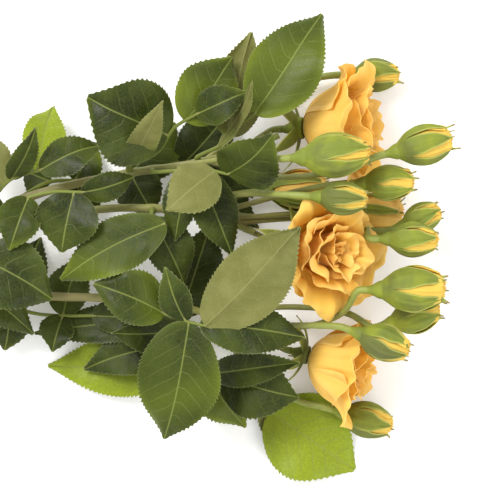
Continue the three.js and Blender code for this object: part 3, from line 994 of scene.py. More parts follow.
BLOOMS = {
    "middle": Head(
        (17, 2, 27),
        (0.68, -0.08, 0.73),
        1.04,
        0.9,
        -25,
        "middle",
        0.97,
        lengths=(1.05, 0.75, 0.86, 0.86, 0.92),
    ),
    "upper": Head(
        (15, 55, 22),
        (0.95, 0.05, 0.21),
        1.18,
        0.62,
        36,
        "upper",
        0.9,
        [(4, 51, 24)],
        (0.72, 0.8, 0.95, 0.84, 1),
    ),
    "lower": Head(
        (19, -46, 19),
        (0.95, -0.26, 0.16),
        1,
        0.5,
        12,
        "lower",
        0.97,
        lengths=(1, 0.8, 1, 1.05, 0.76),
    ),
}

BUDS = {
    "front": Head((18, 41, 65), (1, 0.07, -0.03), 1.12, 0, 15, "upper", 0.72, [(-8, 41, 50)]),
    "second": Head((4, 26.4, 14), (1, 0.04, 0), 1, 0.65, 0, "middle", 0.76, [(-14, 24, 20)], parted=0.7),
    "far": Head((61, 43, 52), (1, 0.25, -0.05), 0.96, 0.5, 50, "upper", 0.8, [(10, 33, 44), (42, 36, 52)]),
    "fork": Head((47, 30, 42), (1, 0.02, 0.04), 0.85, 0.2, 5, "middle", 0.86, [(15, 25, 34), (34, 29, 40)]),
    "nested": Head((27, 24, 62), (1, -0.06, 0.06), 0.8, 0, 30, "middle", 0.72, [(-4, 25, 40), (12, 25, 57)]),
    "top": Head((43, 80, 9), (1, 0, 0.02), 0.8, 0.1, 20, "upper", 0.8, [(8, 67, 12), (28, 78, 8)]),
    "back": Head(
        (40, 17, 14), (1, -0.02, 0.06), 0.95, 0.9, 18, "middle", 0.8, [(8, 15, 20), (30, 16, 13)], parted=0.75
    ),
    "outer": Head((66, 10, 31), (1, 0.4, 0.02), 0.68, 0.3, 60, "middle", 0.9, [(30, 16, 24), (54, 9, 30)]),
    "olive": Head(
        (58, 5, 47), (1, -0.02, 0.05), 0.84, 0, 35, "middle", 0.93, [(26, 14.4, 20), (51, 11.2, 30)]
    ),
    "large": Head((53, -18, 50), (1, 0.02, 0.03), 1.1, 0.6, 0, "lower", 0.84, [(22, -35, 24), (42, -28, 42)]),
    "shaded": Head((60, -34, 31), (1, 0.28, 0), 0.85, 0.2, 10, "lower", 0.8, [(20, -26, 15), (45, -29, 29)]),
    "lower": Head((45, -36, 52), (1, -0.36, 0), 0.88, 0.3, 45, "lower", 0.88, [(14, -34, 30), (30, -34, 46)]),
    "low": Head((38, -73, 13), (1, -0.28, 0.02), 0.88, 0.2, 25, "lower", 0.8, [(6, -60, 13), (22, -69, 11)]),
}


@dataclass
class Stem:
    """The cane, its shoots and every flower stalk."""

    sides: int = 18
    stalk_sides: int = 14
    step: float = 2.2
    swelling: float = 0.22  # of the shoot, where a leaf joins it
    swelling_reach: float = 2.6
    neck: float = 0.4  # widening of a stalk towards its flower
    flare: float = 0.35  # widening of a stalk where it leaves the shoot
    flare_reach: float = 4.0
    core_start: float = 0.6  # how deep the pale core begins behind the cut
    core_length: float = 0.75

    def skin(self) -> Skin:
        """Builds the stem's surface.

        Returns:
            The gathered tubes.
        """
        skin = Skin()
        rng = np.random.default_rng(11)
        for name, shoot in SHOOTS.items():
            count = int(shoot.route.length / self.step)
            share = np.linspace(0.0, 1.0, count)
            radii = shoot.radius(share)
            for spec in LEAVES.values():
                if spec.shoot == name:
                    away = (share - spec.at) * shoot.route.length
                    radii = radii * (1.0 + self.swelling * bell(away, self.swelling_reach))
            radii = radii * (1.0 + 0.03 * waves(share, rng, (3, 7, 13)))
            young = 0.15 + 0.5 * share if name != "cane" else 0.05 + 0.1 * share
            skin.add_tube(shoot.route.at(share), radii, self.sides, {Mark.TONE: young, Mark.ALONG: share})
        self.cut_end(skin)
        for head in [*BLOOMS.values(), *BUDS.values()]:
            route = head.stalk()
            share = np.linspace(0.0, 1.0, int(route.length / self.step) + 4)
            flare = self.flare * bell(share * route.length, self.flare_reach)
            radii = STALK_RADIUS * (1.0 + self.neck * share**3 + flare)
            radii = radii * (1.0 + 0.02 * waves(share, rng, (3, 8)))
            marks = {Mark.TONE: 0.4 + 0.35 * share, Mark.ALONG: share}
            skin.add_tube(route.at(share), radii, self.stalk_sides, marks)
        return skin

    def cut_end(self, skin: Skin) -> None:
        """Adds the pale core that shows at the cane's slanting cut.

        Args:
            skin: the surface to add to.
        """
        cane = SHOOTS["cane"]
        heading = cane.route.heading(0.0)
        share = np.array([0.0, 0.35, 0.7, 1.0])
        line = cane.route.at(0.0) + heading * (self.core_start - self.core_length * share[:, None])
        radii = cane.first_radius * np.array([0.5, 0.9, 0.9, 0.84])
        skin.add_tube(line, radii, self.sides, {Mark.RIM: 2.0})

    def build(self, shift: np.ndarray, finish: Material) -> None:
        """Makes the piece that stands for the stem."""
        dress(self.skin().build("rose_stem", shift, finish), ["stem"])


# ------------------------------------------------------------------------------------------- the leaves
@dataclass
class Leaflet:
    """One blade of a leaf, which may lie with its underside up."""

    at: float
    tip: Point
    width: float
    roll: float
    bow: float
    # how young and pale the blade is; high values paint the glow of light shining through it from below
    tone: float = 0.0
    turned_over: bool = False

    FOLD = 0.16
    COLUMNS = 15
    TOOTH_STEPS = 4
    TOOTH_SPACING = 1.9
    VEIN_SPACING = 7.4
    HALF_THICKNESS = 0.15
    RIB_HEIGHT = 0.7
    RIB_REACH = 0.5
    GROOVE = 0.3
    STALK_POINTS = 6
    STALK_RADII = (0.7, 0.5)

    def outline(self, u: np.ndarray) -> np.ndarray:
        """Returns half the width at a share of the length, as a share of the widest half."""
        along = np.clip(u, 0.0, 1.0)
        return 0.05 + 0.95 * np.sin(math.pi * along**0.82) ** (0.62 + 0.45 * along)

    def add_to(self, skin: Skin, foot: np.ndarray, rng: np.random.Generator) -> None:
        """Adds the blade.

        Args:
            skin: the surface to add to.
            foot: where it grows from.
            rng: the source of its small differences.
        """
        tip = np.array(self.tip, float)
        length = float(np.linalg.norm(tip - foot))
        along = (tip - foot) / length
        rows = int(length / self.TOOTH_SPACING) * self.TOOTH_STEPS + 1
        u = np.linspace(0.0, 1.0, rows)[:, None]
        edge = np.linspace(-1.0, 1.0, self.COLUMNS)
        v = (np.sign(edge) * np.abs(edge) ** 0.85)[None, :]
        phase = (np.arange(rows) % self.TOOTH_STEPS / (self.TOOTH_STEPS - 1.0))[:, None]
        tooth = (0.4 + 0.012 * self.width) * smooth(0.05, 0.2, u) * (1.0 - 0.5 * smooth(0.85, 1.0, u))
        tooth = tooth * (1.0 + 0.35 * waves(u + 0.2 * np.sign(v), rng, (3.0, 7.0)))
        band = smooth(0.8, 1.0, np.abs(v))
        lopsided = 1.0 + 0.07 * rng.uniform(-1.0, 1.0) * np.sign(v)
        half = self.width / 2.0 * self.outline(u)
        reach = np.maximum(half * np.abs(v) * lopsided + band * tooth * (phase**1.4 - 0.5), 0.0)
        run = length * u + band * tooth * 0.8 * phase * (1.0 - u)
        offset = np.sign(v) * reach
        face, lift, drift = self.relief(u, v, reach, length, along, rng)
        side = np.cross(face, along)
        vein = (run - 0.5 * reach - 0.02 * reach**2) / self.VEIN_SPACING + 0.28 * np.sign(v)
        quilt = 0.2 * (0.5 - 0.5 * np.cos(FULL_TURN * vein)) ** 0.7
        lift = lift + quilt * smooth(0.0, 0.3, np.abs(v)) * smooth(1.0, 0.75, np.abs(v))
        middle = foot + along * run[..., None] + side * (offset + drift)[..., None] + face * lift[..., None]
        rim = np.minimum(half * (1.0 - np.abs(v)), length * np.minimum(u, 1.0 - u) * 0.6 + 0.05)
        rib = bell(reach, self.RIB_REACH) * (1.0 - 0.7 * u)
        marks = {
            Mark.ALONG: u,
            Mark.ACROSS: offset,
            Mark.RIM: rim,
            Mark.TONE: self.tone + 0.12 * waves(u + 0.2 * v, rng, (0.7, 1.3)) + 0.12 * smooth(4.0, 0.0, rim),
            Mark.VEIN: vein,
        }
        above, below = self.HALF_THICKNESS, self.HALF_THICKNESS + self.RIB_HEIGHT * rib
        if self.turned_over:
            above, below = below, above
        skin.add_sheet(middle, above, below, marks, self.turned_over)
        joint = middle[self.TOOTH_STEPS, self.COLUMNS // 2]
        line = foot + (joint - foot) * np.linspace(0.0, 1.0, self.STALK_POINTS)[:, None]
        radii = np.linspace(*self.STALK_RADII, self.STALK_POINTS)
        skin.add_tube(line, radii, 8, {Mark.TONE: 0.4, Mark.RIM: 3.0, Mark.VEIN: 0.5})

    def relief(
        self,
        u: np.ndarray,
        v: np.ndarray,
        reach: np.ndarray,
        length: float,
        along: np.ndarray,
        rng: np.random.Generator,
    ) -> tuple[np.ndarray, np.ndarray, np.ndarray]:
        """Works out how the blade folds, waves, droops and twists.

        Args:
            u: share of the length, by row.
            v: place across it from -1 to 1, by column.
            reach: distance from the midrib.
            length: the blade's length.
            along: the direction that it points in.
            rng: the source of its small differences.

        Returns:
            The direction that each row faces, the rise above the plain blade, and the sideways bend.
        """
        up = np.array([0.0, 0.0, 1.0])
        level = unit(up - along * float(np.dot(up, along)))
        twist = math.radians(rng.uniform(-14.0, 14.0)) * (u - 0.4)
        roll = math.radians(self.roll)
        face = np.stack([turned_about(level, along, roll + float(t)) for t in twist[:, 0]])
        sway = 0.05 * self.width * np.abs(v) ** 2 * waves(0.8 * u + 0.15 * np.sign(v), rng, (1.4, 2.6))
        cup = self.FOLD * (np.sqrt(reach**2 + 1.2) - 1.1) * (1.0 + 0.4 * rng.uniform(-1.0, 1.0))
        hang = -0.03 * self.width * smooth(0.55, 1.0, np.abs(v)) * rng.uniform(0.0, 2.0)
        droop = -0.05 * length * smooth(0.55, 1.0, u) ** 2 * rng.uniform(0.2, 1.3)
        groove = -self.GROOVE * bell(reach, self.RIB_REACH)
        lift = self.bow * np.sin(math.pi * u) + cup + (sway + hang) * smooth(0.0, 0.3, u) + droop + groove
        drift = 0.03 * length * np.sin(math.pi * u) * rng.uniform(-1.0, 1.0)
        return face[:, None, :], lift, drift


@dataclass
class Leaf:
    """A leaf: where it leaves its shoot, the points its stalk passes, and its leaflets."""

    shoot: str
    at: float
    stalk: Sequence[Point]
    leaflets: Sequence[Leaflet]

    STEP = 1.5
    SIDES = 10
    OUTWARD = 3.0  # how far the stalk goes straight out of the shoot
    TAPER = 0.3
    FLARE = 0.7
    FLARE_REACH = 2.5

    def route(self) -> Route:
        """Returns the line of the leaf's stalk, from the surface of the shoot."""
        shoot = SHOOTS[self.shoot]
        centre, heading = shoot.route.at(self.at), shoot.route.heading(self.at)
        out = np.array(self.stalk[0], float) - centre
        out = unit(out - heading * float(np.dot(out, heading)))
        clear = float(shoot.radius(self.at)) + GAP
        return Route([centre + out * clear, centre + out * (clear + self.OUTWARD), *self.stalk])

    def build(self, name: str, shift: np.ndarray, finish: Material) -> None:
        """Makes the piece that stands for the leaf.

        Args:
            name: the leaf's name.
            shift: how far the layout is from the frame.
            finish: the leaf material.
        """
        rng = np.random.default_rng(sum(map(ord, name)))
        skin = Skin()
        route = self.route()
        share = np.linspace(0.0, 1.0, int(route.length / self.STEP) + 4)
        flare = self.FLARE * bell(share * route.length, self.FLARE_REACH)
        radii = PETIOLE_RADIUS * (1.0 - self.TAPER * share + flare)
        line = route.at(share)
        line[0] -= unit(line[1] - line[0]) * GAP
        marks = {Mark.TONE: 0.45, Mark.RIM: 3.0, Mark.VEIN: 0.5, Mark.FACE: 1.0}
        skin.add_tube(line, radii, self.SIDES, marks)
        for leaflet in self.leaflets:
            leaflet.add_to(skin, route.at(leaflet.at), rng)
        piece = skin.build("leafy_" + name, shift, finish)
        dress(piece, ["leaf_" + name])


# leaflets with tones near 0.9 are painted with the glow of light shining through them from below
LEAVES = {
    "upper_fan": Leaf(
        "upper",
        0.6,
        [(-42, 44, 38), (-34, 55, 45), (-24, 61, 50)],
        [
            Leaflet(0.62, (-73, 68, 50), 42, -8, 4, 0.15),
            Leaflet(0.12, (-39, 65, 68), 14, 20, 2, 0.25, True),
            Leaflet(0.86, (-8, 87, 44), 29, 10, 3, 0.45),
            Leaflet(1, (-2, 71, 56), 18, -10, 3, 0.2),
        ],
    ),
    "top": Leaf(
        "upper",
        0.78,
        [(-12, 48, 44), (-6, 55, 50), (2, 61, 52)],
        [
            Leaflet(0.6, (0, 98, 34), 25, 186, 3, 0.3),
            Leaflet(1, (32, 107, 46), 33, -6, 4, 0.42),
            Leaflet(0.4, (3, 75, 68), 10, 130, 2, 0.2),
        ],
    ),
    "folded": Leaf(
        "upper",
        0.66,
        [(-28, 36, 42), (-19, 36, 50), (-10, 34, 55)],
        [
            Leaflet(1, (10, 51, 73), 30, 22, 3, 0.2),
            Leaflet(0.85, (-37, 18, 60), 24, 12, 3, 0.1, True),
            Leaflet(0.6, (-8, -2, 50), 22, -14, 2, 0.05),
            Leaflet(0.45, (-34, 4, 44), 17, 10, 2, 0.1),
        ],
    ),
    "left_upper": Leaf(
        "upper",
        0.16,
        [(-118, 22, 28), (-108, 32, 34), (-95, 36, 36)],
        [
            Leaflet(1, (-67, 48, 34), 18, -14, 3, 0.1),
            Leaflet(0.97, (-90, 66, 12), 20, 8, 2, 0.95),
            Leaflet(0.6, (-128, 53, 30), 20, 10, 2, 0.1, True),
            Leaflet(0.7, (-96, 54, 52), 13, 30, 2, 0.15),
        ],
    ),
    "left_middle": Leaf(
        "middle",
        0.2,
        [(-116, 14, 38), (-104, 22, 45), (-90, 26, 47), (-76, 26, 46)],
        [
            Leaflet(0.95, (-85, -1, 46), 29, 6, 3, 0.05),
            Leaflet(1, (-52, 33, 42), 14, 16, 3, 0.05),
            Leaflet(0.62, (-108, 0, 50), 20, -6, 3, 0.25),
            Leaflet(0.4, (-146, 26, 42), 20, -6, 3, 0.15),
        ],
    ),
    "bright": Leaf(
        "middle",
        0.7,
        [(-44, 15, 40), (-41, 12, 46), (-38, 12, 48)],
        [
            Leaflet(1, (-86, -13, 42), 26, 14, 4, 0.3),
            Leaflet(0.5, (-29, -16, 38), 22, -10, 2, 0.05),
        ],
    ),
    "left_lower": Leaf(
        "lower",
        0.12,
        [(-136, -8, 24), (-130, -6, 38), (-124, -2, 44)],
        [
            Leaflet(1, (-89, -22, 42), 33, -4, 4, 0.12),
            Leaflet(0.35, (-98, -38, 24), 22, -8, 2, 0.05),
            Leaflet(0.6, (-158, -28, 30), 20, 8, 2, 0.2),
        ],
    ),
    "star": Leaf(
        "lower",
        0.56,
        [(-58, -24, 30), (-46, -26, 42), (-32, -31, 50), (-20, -34, 56)],
        [
            Leaflet(0.62, (-70, -15, 50), 25, 6, 4, 0.25),
            Leaflet(0.82, (-38, -8, 58), 15, -12, 3, 0.1),
            Leaflet(1, (22, 11, 79), 32, 184, 3, 0.1),
            Leaflet(0.85, (-39, -86, 34), 38, 6, 5, 0.28),
            Leaflet(0.95, (25, -39, 50), 24, -10, 3, 0.05),
        ],
    ),
    "bottom": Leaf(
        "lower",
        0.74,
        [(-32, -32, 14), (-32, -44, 14), (-25, -54, 17), (-13, -58, 20)],
        [
            Leaflet(1, (22, -67, 28), 30, 4, 3, 0.08),
            Leaflet(0.4, (-76, -54, 13), 22, 4, 2, 0.05),
            Leaflet(0.6, (-93, -53, 2.5), 29, -4, 0.5, 0.85),
            Leaflet(0.15, (-99, -38, 8), 19, 8, 2, 0.05),
            Leaflet(0.3, (-62, -38, 30), 18, -12, 3, 0.05),
            Leaflet(0.86, (22, -51, 39.5), 16, 10, 3, 0.15),
            Leaflet(0.12, (-18, 12, 12), 26, 0, 0),
            Leaflet(0.7, (-2, -82, 8), 24, 0, 1, 0.5),
        ],
    ),
    "right_lower": Leaf(
        "lower",
        0.9,
        [(-4, -44, 10), (2, -58, 5), (9, -74, 4)],
        [
            Leaflet(1, (48, -101, 3), 42, 2, 1, 0.85),
            Leaflet(0.85, (16, -94, 1.5), 11, 176, 0.5, 0.3),
        ],
    ),
    "under_upper": Leaf(
        "upper",
        0.3,
        [(-92, 31, 12), (-78, 32, 8), (-58, 35, 7), (-36, 38, 7), (-18, 38, 7)],
        [
            Leaflet(1, (15, 31, 5), 24, 0, 1),
            Leaflet(0.85, (-8, 66, 8), 24, 4, 1),
            Leaflet(0.85, (4, 10, 8), 20, -4, 1),
            Leaflet(0.6, (-34, 58, 8), 26, 0, 1, 0.35),
            Leaflet(0.6, (-44, 16, 9), 22, 0, 1),
            Leaflet(0.32, (-70, 48, 5), 18, 0, 1, 0.3),
            Leaflet(0.32, (-72, 12, 10), 18, 0, 1),
            Leaflet(0.2, (-104, 36, 5), 16, 0, 1),
        ],
    ),
    "under_lower": Leaf(
        "lower",
        0.22,
        [(-110, -25, 13), (-98, -29, 13), (-84, -30, 13.5), (-72, -30, 15)],
        [
            Leaflet(1, (-48, -31, 17), 16, 0, 1),
            Leaflet(0.75, (-78, -3, 6), 20, 0, 0),
            Leaflet(0.3, (-96, 6, 3), 22, 0, 0),
            Leaflet(0.3, (-112, -46, 12), 18, 0, 1, 0.2),
            Leaflet(0.75, (-90, -46, 20), 16, 0, 1),
        ],
    ),
}


# ------------------------------------------------------------------------------------------ the flowers
@dataclass
class Petal:
    """One petal of an open bloom, as a curved sheet around the bloom's axis."""

    length: float
    foot_lean: float
    waist_lean: float
    rim_lean: float
    angle: float
    spread: float
    start: float
    height: float
    rows: int
    columns: int
    ruffle: float
    tone: float
    cup: float = 0.55
    swirl: float = 0.0
    half_thickness: float = 0.15

    PROFILE_END = 1.15  # past the usual length, for the points of a ragged rim
    PROFILE_STEPS = 240
    RIM_CURL = math.radians(26.0)
    OVERLAP = 0.55  # how much further out one side edge is than the middle

    def profile(self) -> tuple[np.ndarray, np.ndarray, np.ndarray, np.ndarray]:
        """Works out the petal as seen from its side.

        Returns:
            Shares of its length, and for each the lean, how far out it is and how far up.
        """
        share = np.linspace(0.0, self.PROFILE_END, self.PROFILE_STEPS)
        lean = np.interp(share, [0.0, self.cup, 1.0], [self.foot_lean, self.waist_lean, self.rim_lean])
        lean = lean + self.RIM_CURL * self.ruffle * smooth(0.86, 1.0, share)
        step = self.length * (share[1] - share[0])
        out = np.concatenate([[0.0], np.cumsum(np.sin(lean[:-1]) * step)])
        up = np.concatenate([[0.0], np.cumsum(np.cos(lean[:-1]) * step)])
        return share, lean, out, up

    def reach(self, u: np.ndarray, v: np.ndarray, rng: np.random.Generator) -> np.ndarray:
        """Works out how far up the petal its grid goes, to a round rim that is pointed and ragged.

        Args:
            u: share of the rows.
            v: place across the petal, from -1 to 1.
            rng: the source of its small differences.

        Returns:
            Shares of the petal's length.
        """
        point = 0.05 * bell(v, 0.22) * rng.uniform(0.4, 1.4)
        wavy = 0.03 * waves(v / 2.0, rng, (1.0, 2.3, 3.9))
        ragged = 0.003 * waves(v / 2.0, rng, (7.0, 11.0, 16.0))
        return u * (1.0 - 0.17 * v**2 - 0.05 * v**6 + point * u + (wavy + ragged) * u**2)

    def add_to(self, skin: Skin, head: Head, rng: np.random.Generator) -> None:
        """Adds the petal.

        Args:
            skin: the surface to add to.
            head: the flower that it belongs to.
            rng: the source of its small differences.
        """
        share, lean, out, up = self.profile()
        u = np.linspace(0.0, 1.0, self.rows)[:, None] ** 0.92
        v = np.linspace(-1.0, 1.0, self.columns)[None, :]
        reach = self.reach(u, v, rng)
        radius = self.start + np.interp(reach, share, out)
        height = self.height + np.interp(reach, share, up)
        width = self.spread * (0.5 + 0.5 * np.sin(math.pi / 2.0 * np.clip(reach * 1.5, 0.0, 1.0)))
        width = width * (1.0 - 0.12 * smooth(0.75, 1.0, reach))
        slack = self.ruffle * reach**2
        tilt = np.interp(reach, share, lean)
        broad = 1.5 * waves(v * 0.5 + 0.1 * u, rng, (1.6, 2.7))
        fine = 0.55 * waves(v * 0.5 + 0.08 * u, rng, (4.3, 6.9))
        sides = 0.12 * self.length * smooth(0.35, 1.0, np.abs(v)) ** 2
        under = slack * (sides - (broad + fine))
        radius = radius + under * np.cos(tilt) + self.OVERLAP * v
        height = height - under * np.sin(tilt) + slack * 0.6 * waves(v * 0.5, rng, (1.2, 2.9))
        grid = around(radius, self.angle + v * width + self.swirl * u, height)
        span = radius * width
        rim = np.minimum(self.length * (1.0 - u), span * (1.0 - np.abs(v)) + 0.3)
        marks = {Mark.ALONG: reach, Mark.ACROSS: v * span, Mark.RIM: rim, Mark.TONE: self.tone}
        skin.add_sheet(head.placed(grid), self.half_thickness, self.half_thickness, marks)


HIP_SHARES = (0.0, 0.12, 0.3, 0.5, 0.68, 0.84, 0.94, 1.0)
HIP_WIDTHS = (0.0, 0.05, 0.26, 0.62, 0.9, 1.0, 0.95, 0.9)


def add_hip(skin: Skin, head: Head, radius: float, height: float, stalk: float) -> None:
    """Adds the green swelling under a flower.

    Args:
        skin: the surface to add to.
        head: the flower that it belongs to.
        radius: its largest radius.
        height: its height.
        stalk: the stalk's radius where it enters.
    """
    level = np.linspace(0.0, 1.0, 22)[:, None]
    angle = np.linspace(0.0, FULL_TURN, 28, endpoint=False)[None, :]
    radii = stalk + (radius - stalk) * np.interp(level, HIP_SHARES, HIP_WIDTHS)
    ribs = 1.0 + 0.02 * np.cos(PER_WHORL * angle) * level
    body = head.placed(around(radii * ribs, angle, level * (height + GAP) - GAP))
    ends = head.placed(np.array([[0.0, 0.0, -GAP], [0.0, 0.0, height + 0.3]]))
    skin.add_rings(body, ends[0], ends[1], {Mark.RIM: 3.0, Mark.ALONG: 0.3, Mark.TONE: 0.45})


def sepal_marks(u: np.ndarray, v: np.ndarray, half: np.ndarray, tone: float) -> Marks:
    """Returns what the vertices of a sepal know about their places.

    Args:
        u: share of its length.
        v: place across it, from -1 to 1.
        half: half its width.
        tone: how bright it is; low values paint shade on it.

    Returns:
        The marks.
    """
    return {Mark.ALONG: u, Mark.ACROSS: half * v, Mark.RIM: half * (1.0 - np.abs(v)), Mark.TONE: tone}


@dataclass
class Bloom:
    """An open flower: five outer petals, a cup of rolled inner petals, and its calyx."""

    head: Head
    inner: int = 14
    sepal_length: float = 19.0
    sepal_half_width: float = 3.1
    sepal_from: float = math.radians(96.0)
    sepal_to: float = math.radians(150.0)
    sepal_half_thickness: float = 0.2

    def base(self) -> tuple[float, float]:
        """Returns the radius and height that the outer petals grow from."""
        size = self.head.size
        return HIP_RADIUS * 0.75 * size, HIP_HEIGHT * size + GAP + CAD_SHEET / 2.0

    def leans(self) -> tuple[float, float]:
        """Returns how far the outer petals lean at the waist and at the rim."""
        opened = self.head.open
        return math.radians(mix(2.0, 22.0, opened)), math.radians(mix(30.0, 112.0, opened))

    def outer_petal(self, i: int) -> Petal:
        """Describes one of the five outer petals.

        Args:
            i: which one, from 0.

        Returns:
            The petal.
        """
        head = self.head
        waist, rim = self.leans()
        start, height = self.base()
        return Petal(
            length=PETAL_LENGTH * head.size * head.lengths[i],
            foot_lean=math.radians(74.0),
            waist_lean=waist,
            rim_lean=rim,
            angle=math.radians(head.turn) + FULL_TURN * i / PER_WHORL,
            spread=math.radians(54.0),
            start=start,
            height=height,
            ruffle=0.8 + 0.5 * head.open,
            tone=0.25,
            rows=42,
            columns=57,
        )

    def inner_petals(self) -> list[Petal]:
        """Describes the petals inside the outer ones, from the outside in."""
        head = self.head
        waist, rim = self.leans()
        start, height = self.base()
        rng = np.random.default_rng(int(head.turn) + 40)
        found = []
        for i in range(self.inner):
            depth = (i + 0.6) / self.inner
            loose = rng.uniform(-1.0, 1.0, 3)
            found.append(
                Petal(
                    length=PETAL_LENGTH * head.size * mix(0.93, 0.66, depth) * (1.0 + 0.06 * loose[0]),
                    foot_lean=math.radians(mix(72.0, 8.0, depth**0.8)),
                    waist_lean=mix(waist * 0.7, math.radians(-7.0), depth**0.7),
                    rim_lean=mix(rim * 0.72, math.radians(16.0), depth**0.55) * (1.0 + 0.35 * loose[1]),
                    angle=math.radians(head.turn + 36.0) + GOLDEN_ANGLE * i + 0.2 * loose[2],
                    spread=math.radians(mix(56.0, 115.0, depth)),
                    start=mix(start * 0.9, 0.5, depth),
                    height=height + 0.5 + 1.2 * depth,
                    ruffle=mix(1.0 + 0.5 * head.open, 0.4, depth),
                    swirl=math.radians(26.0) * depth,
                    tone=mix(0.15, 0.0, depth),
                    rows=28,
                    columns=45,
                )
            )
        return found

    def sepal_width(self, u: np.ndarray) -> np.ndarray:
        """Returns a sepal's half width at a share of its length, as a share of the widest."""
        return 0.1 + 0.9 * np.maximum(0.0, np.sin(math.pi * np.minimum(1.0, 0.32 + u * 0.76)))

    def add_sepal(self, skin: Skin, i: int, sideways: float) -> None:
        """Adds a sepal that bends back from the hip on an arc.

        Args:
            skin: the surface to add to.
            i: which one, from 0.
            sideways: how far it bows to one side, from -1 to 1.
        """
        head, size = self.head, self.head.size
        u = np.linspace(0.0, 1.0, 26)[:, None]
        v = np.linspace(-1.0, 1.0, 11)[None, :]
        angle = math.radians(head.turn + 36.0) + FULL_TURN * i / PER_WHORL
        a, b = self.sepal_from, self.sepal_to
        lean = a + (b - a) * u
        bend_radius = self.sepal_length * size / (b - a)
        reach = HIP_RADIUS * 0.6 * size + bend_radius * (math.cos(a) - np.cos(lean))
        level = HIP_HEIGHT * size * 0.82 + bend_radius * (np.sin(lean) - math.sin(a))
        level = level - 0.5 * size * v**2 * self.sepal_width(u)
        half = self.sepal_half_width * size * self.sepal_width(u)
        across = half * v + 0.8 * size * np.sin(math.pi * u) * sideways
        forward = reach * math.cos(angle) - across * math.sin(angle)
        left = reach * math.sin(angle) + across * math.cos(angle)
        grid = np.stack([forward, left, level], axis=-1)
        thick = self.sepal_half_thickness
        skin.add_sheet(head.placed(grid), thick, thick, sepal_marks(u, v, half, 0.25))

    def calyx(self) -> Skin:
        """Builds the hip and the five sepals that bend back from it."""
        head, size = self.head, self.head.size
        rng = np.random.default_rng(int(head.turn) + 90)
        skin = Skin()
        add_hip(skin, head, HIP_RADIUS * size, HIP_HEIGHT * size, STALK_RADIUS * 1.25)
        for i in range(PER_WHORL):
            self.add_sepal(skin, i, rng.uniform(-1.0, 1.0))
        return skin

    def build(self, name: str, shift: np.ndarray, petal: Material, green: Material) -> None:
        """Makes the pieces of the bloom.

        Args:
            name: the bloom's name.
            shift: how far the layout is from the frame.
            petal: the petal material.
            green: the calyx material.
        """
        rng = np.random.default_rng(sum(map(ord, name)) + 7)
        prefix = f"bloom_{name}_"
        dress(self.calyx().build("sepals_" + name, shift, green), [prefix + "calyx"])
        for i in range(PER_WHORL):
            skin = Skin()
            self.outer_petal(i).add_to(skin, self.head, rng)
            piece = skin.build(f"petal_{name}_{i + 1}", shift, petal)
            dress(piece, [f"{prefix}outer_petal_{i + 1}"])
        skin = Skin()
        for inner in self.inner_petals():
            inner.add_to(skin, self.head, rng)
        dress(skin.build("rosette_" + name, shift, petal), [prefix + "inner_petals"])


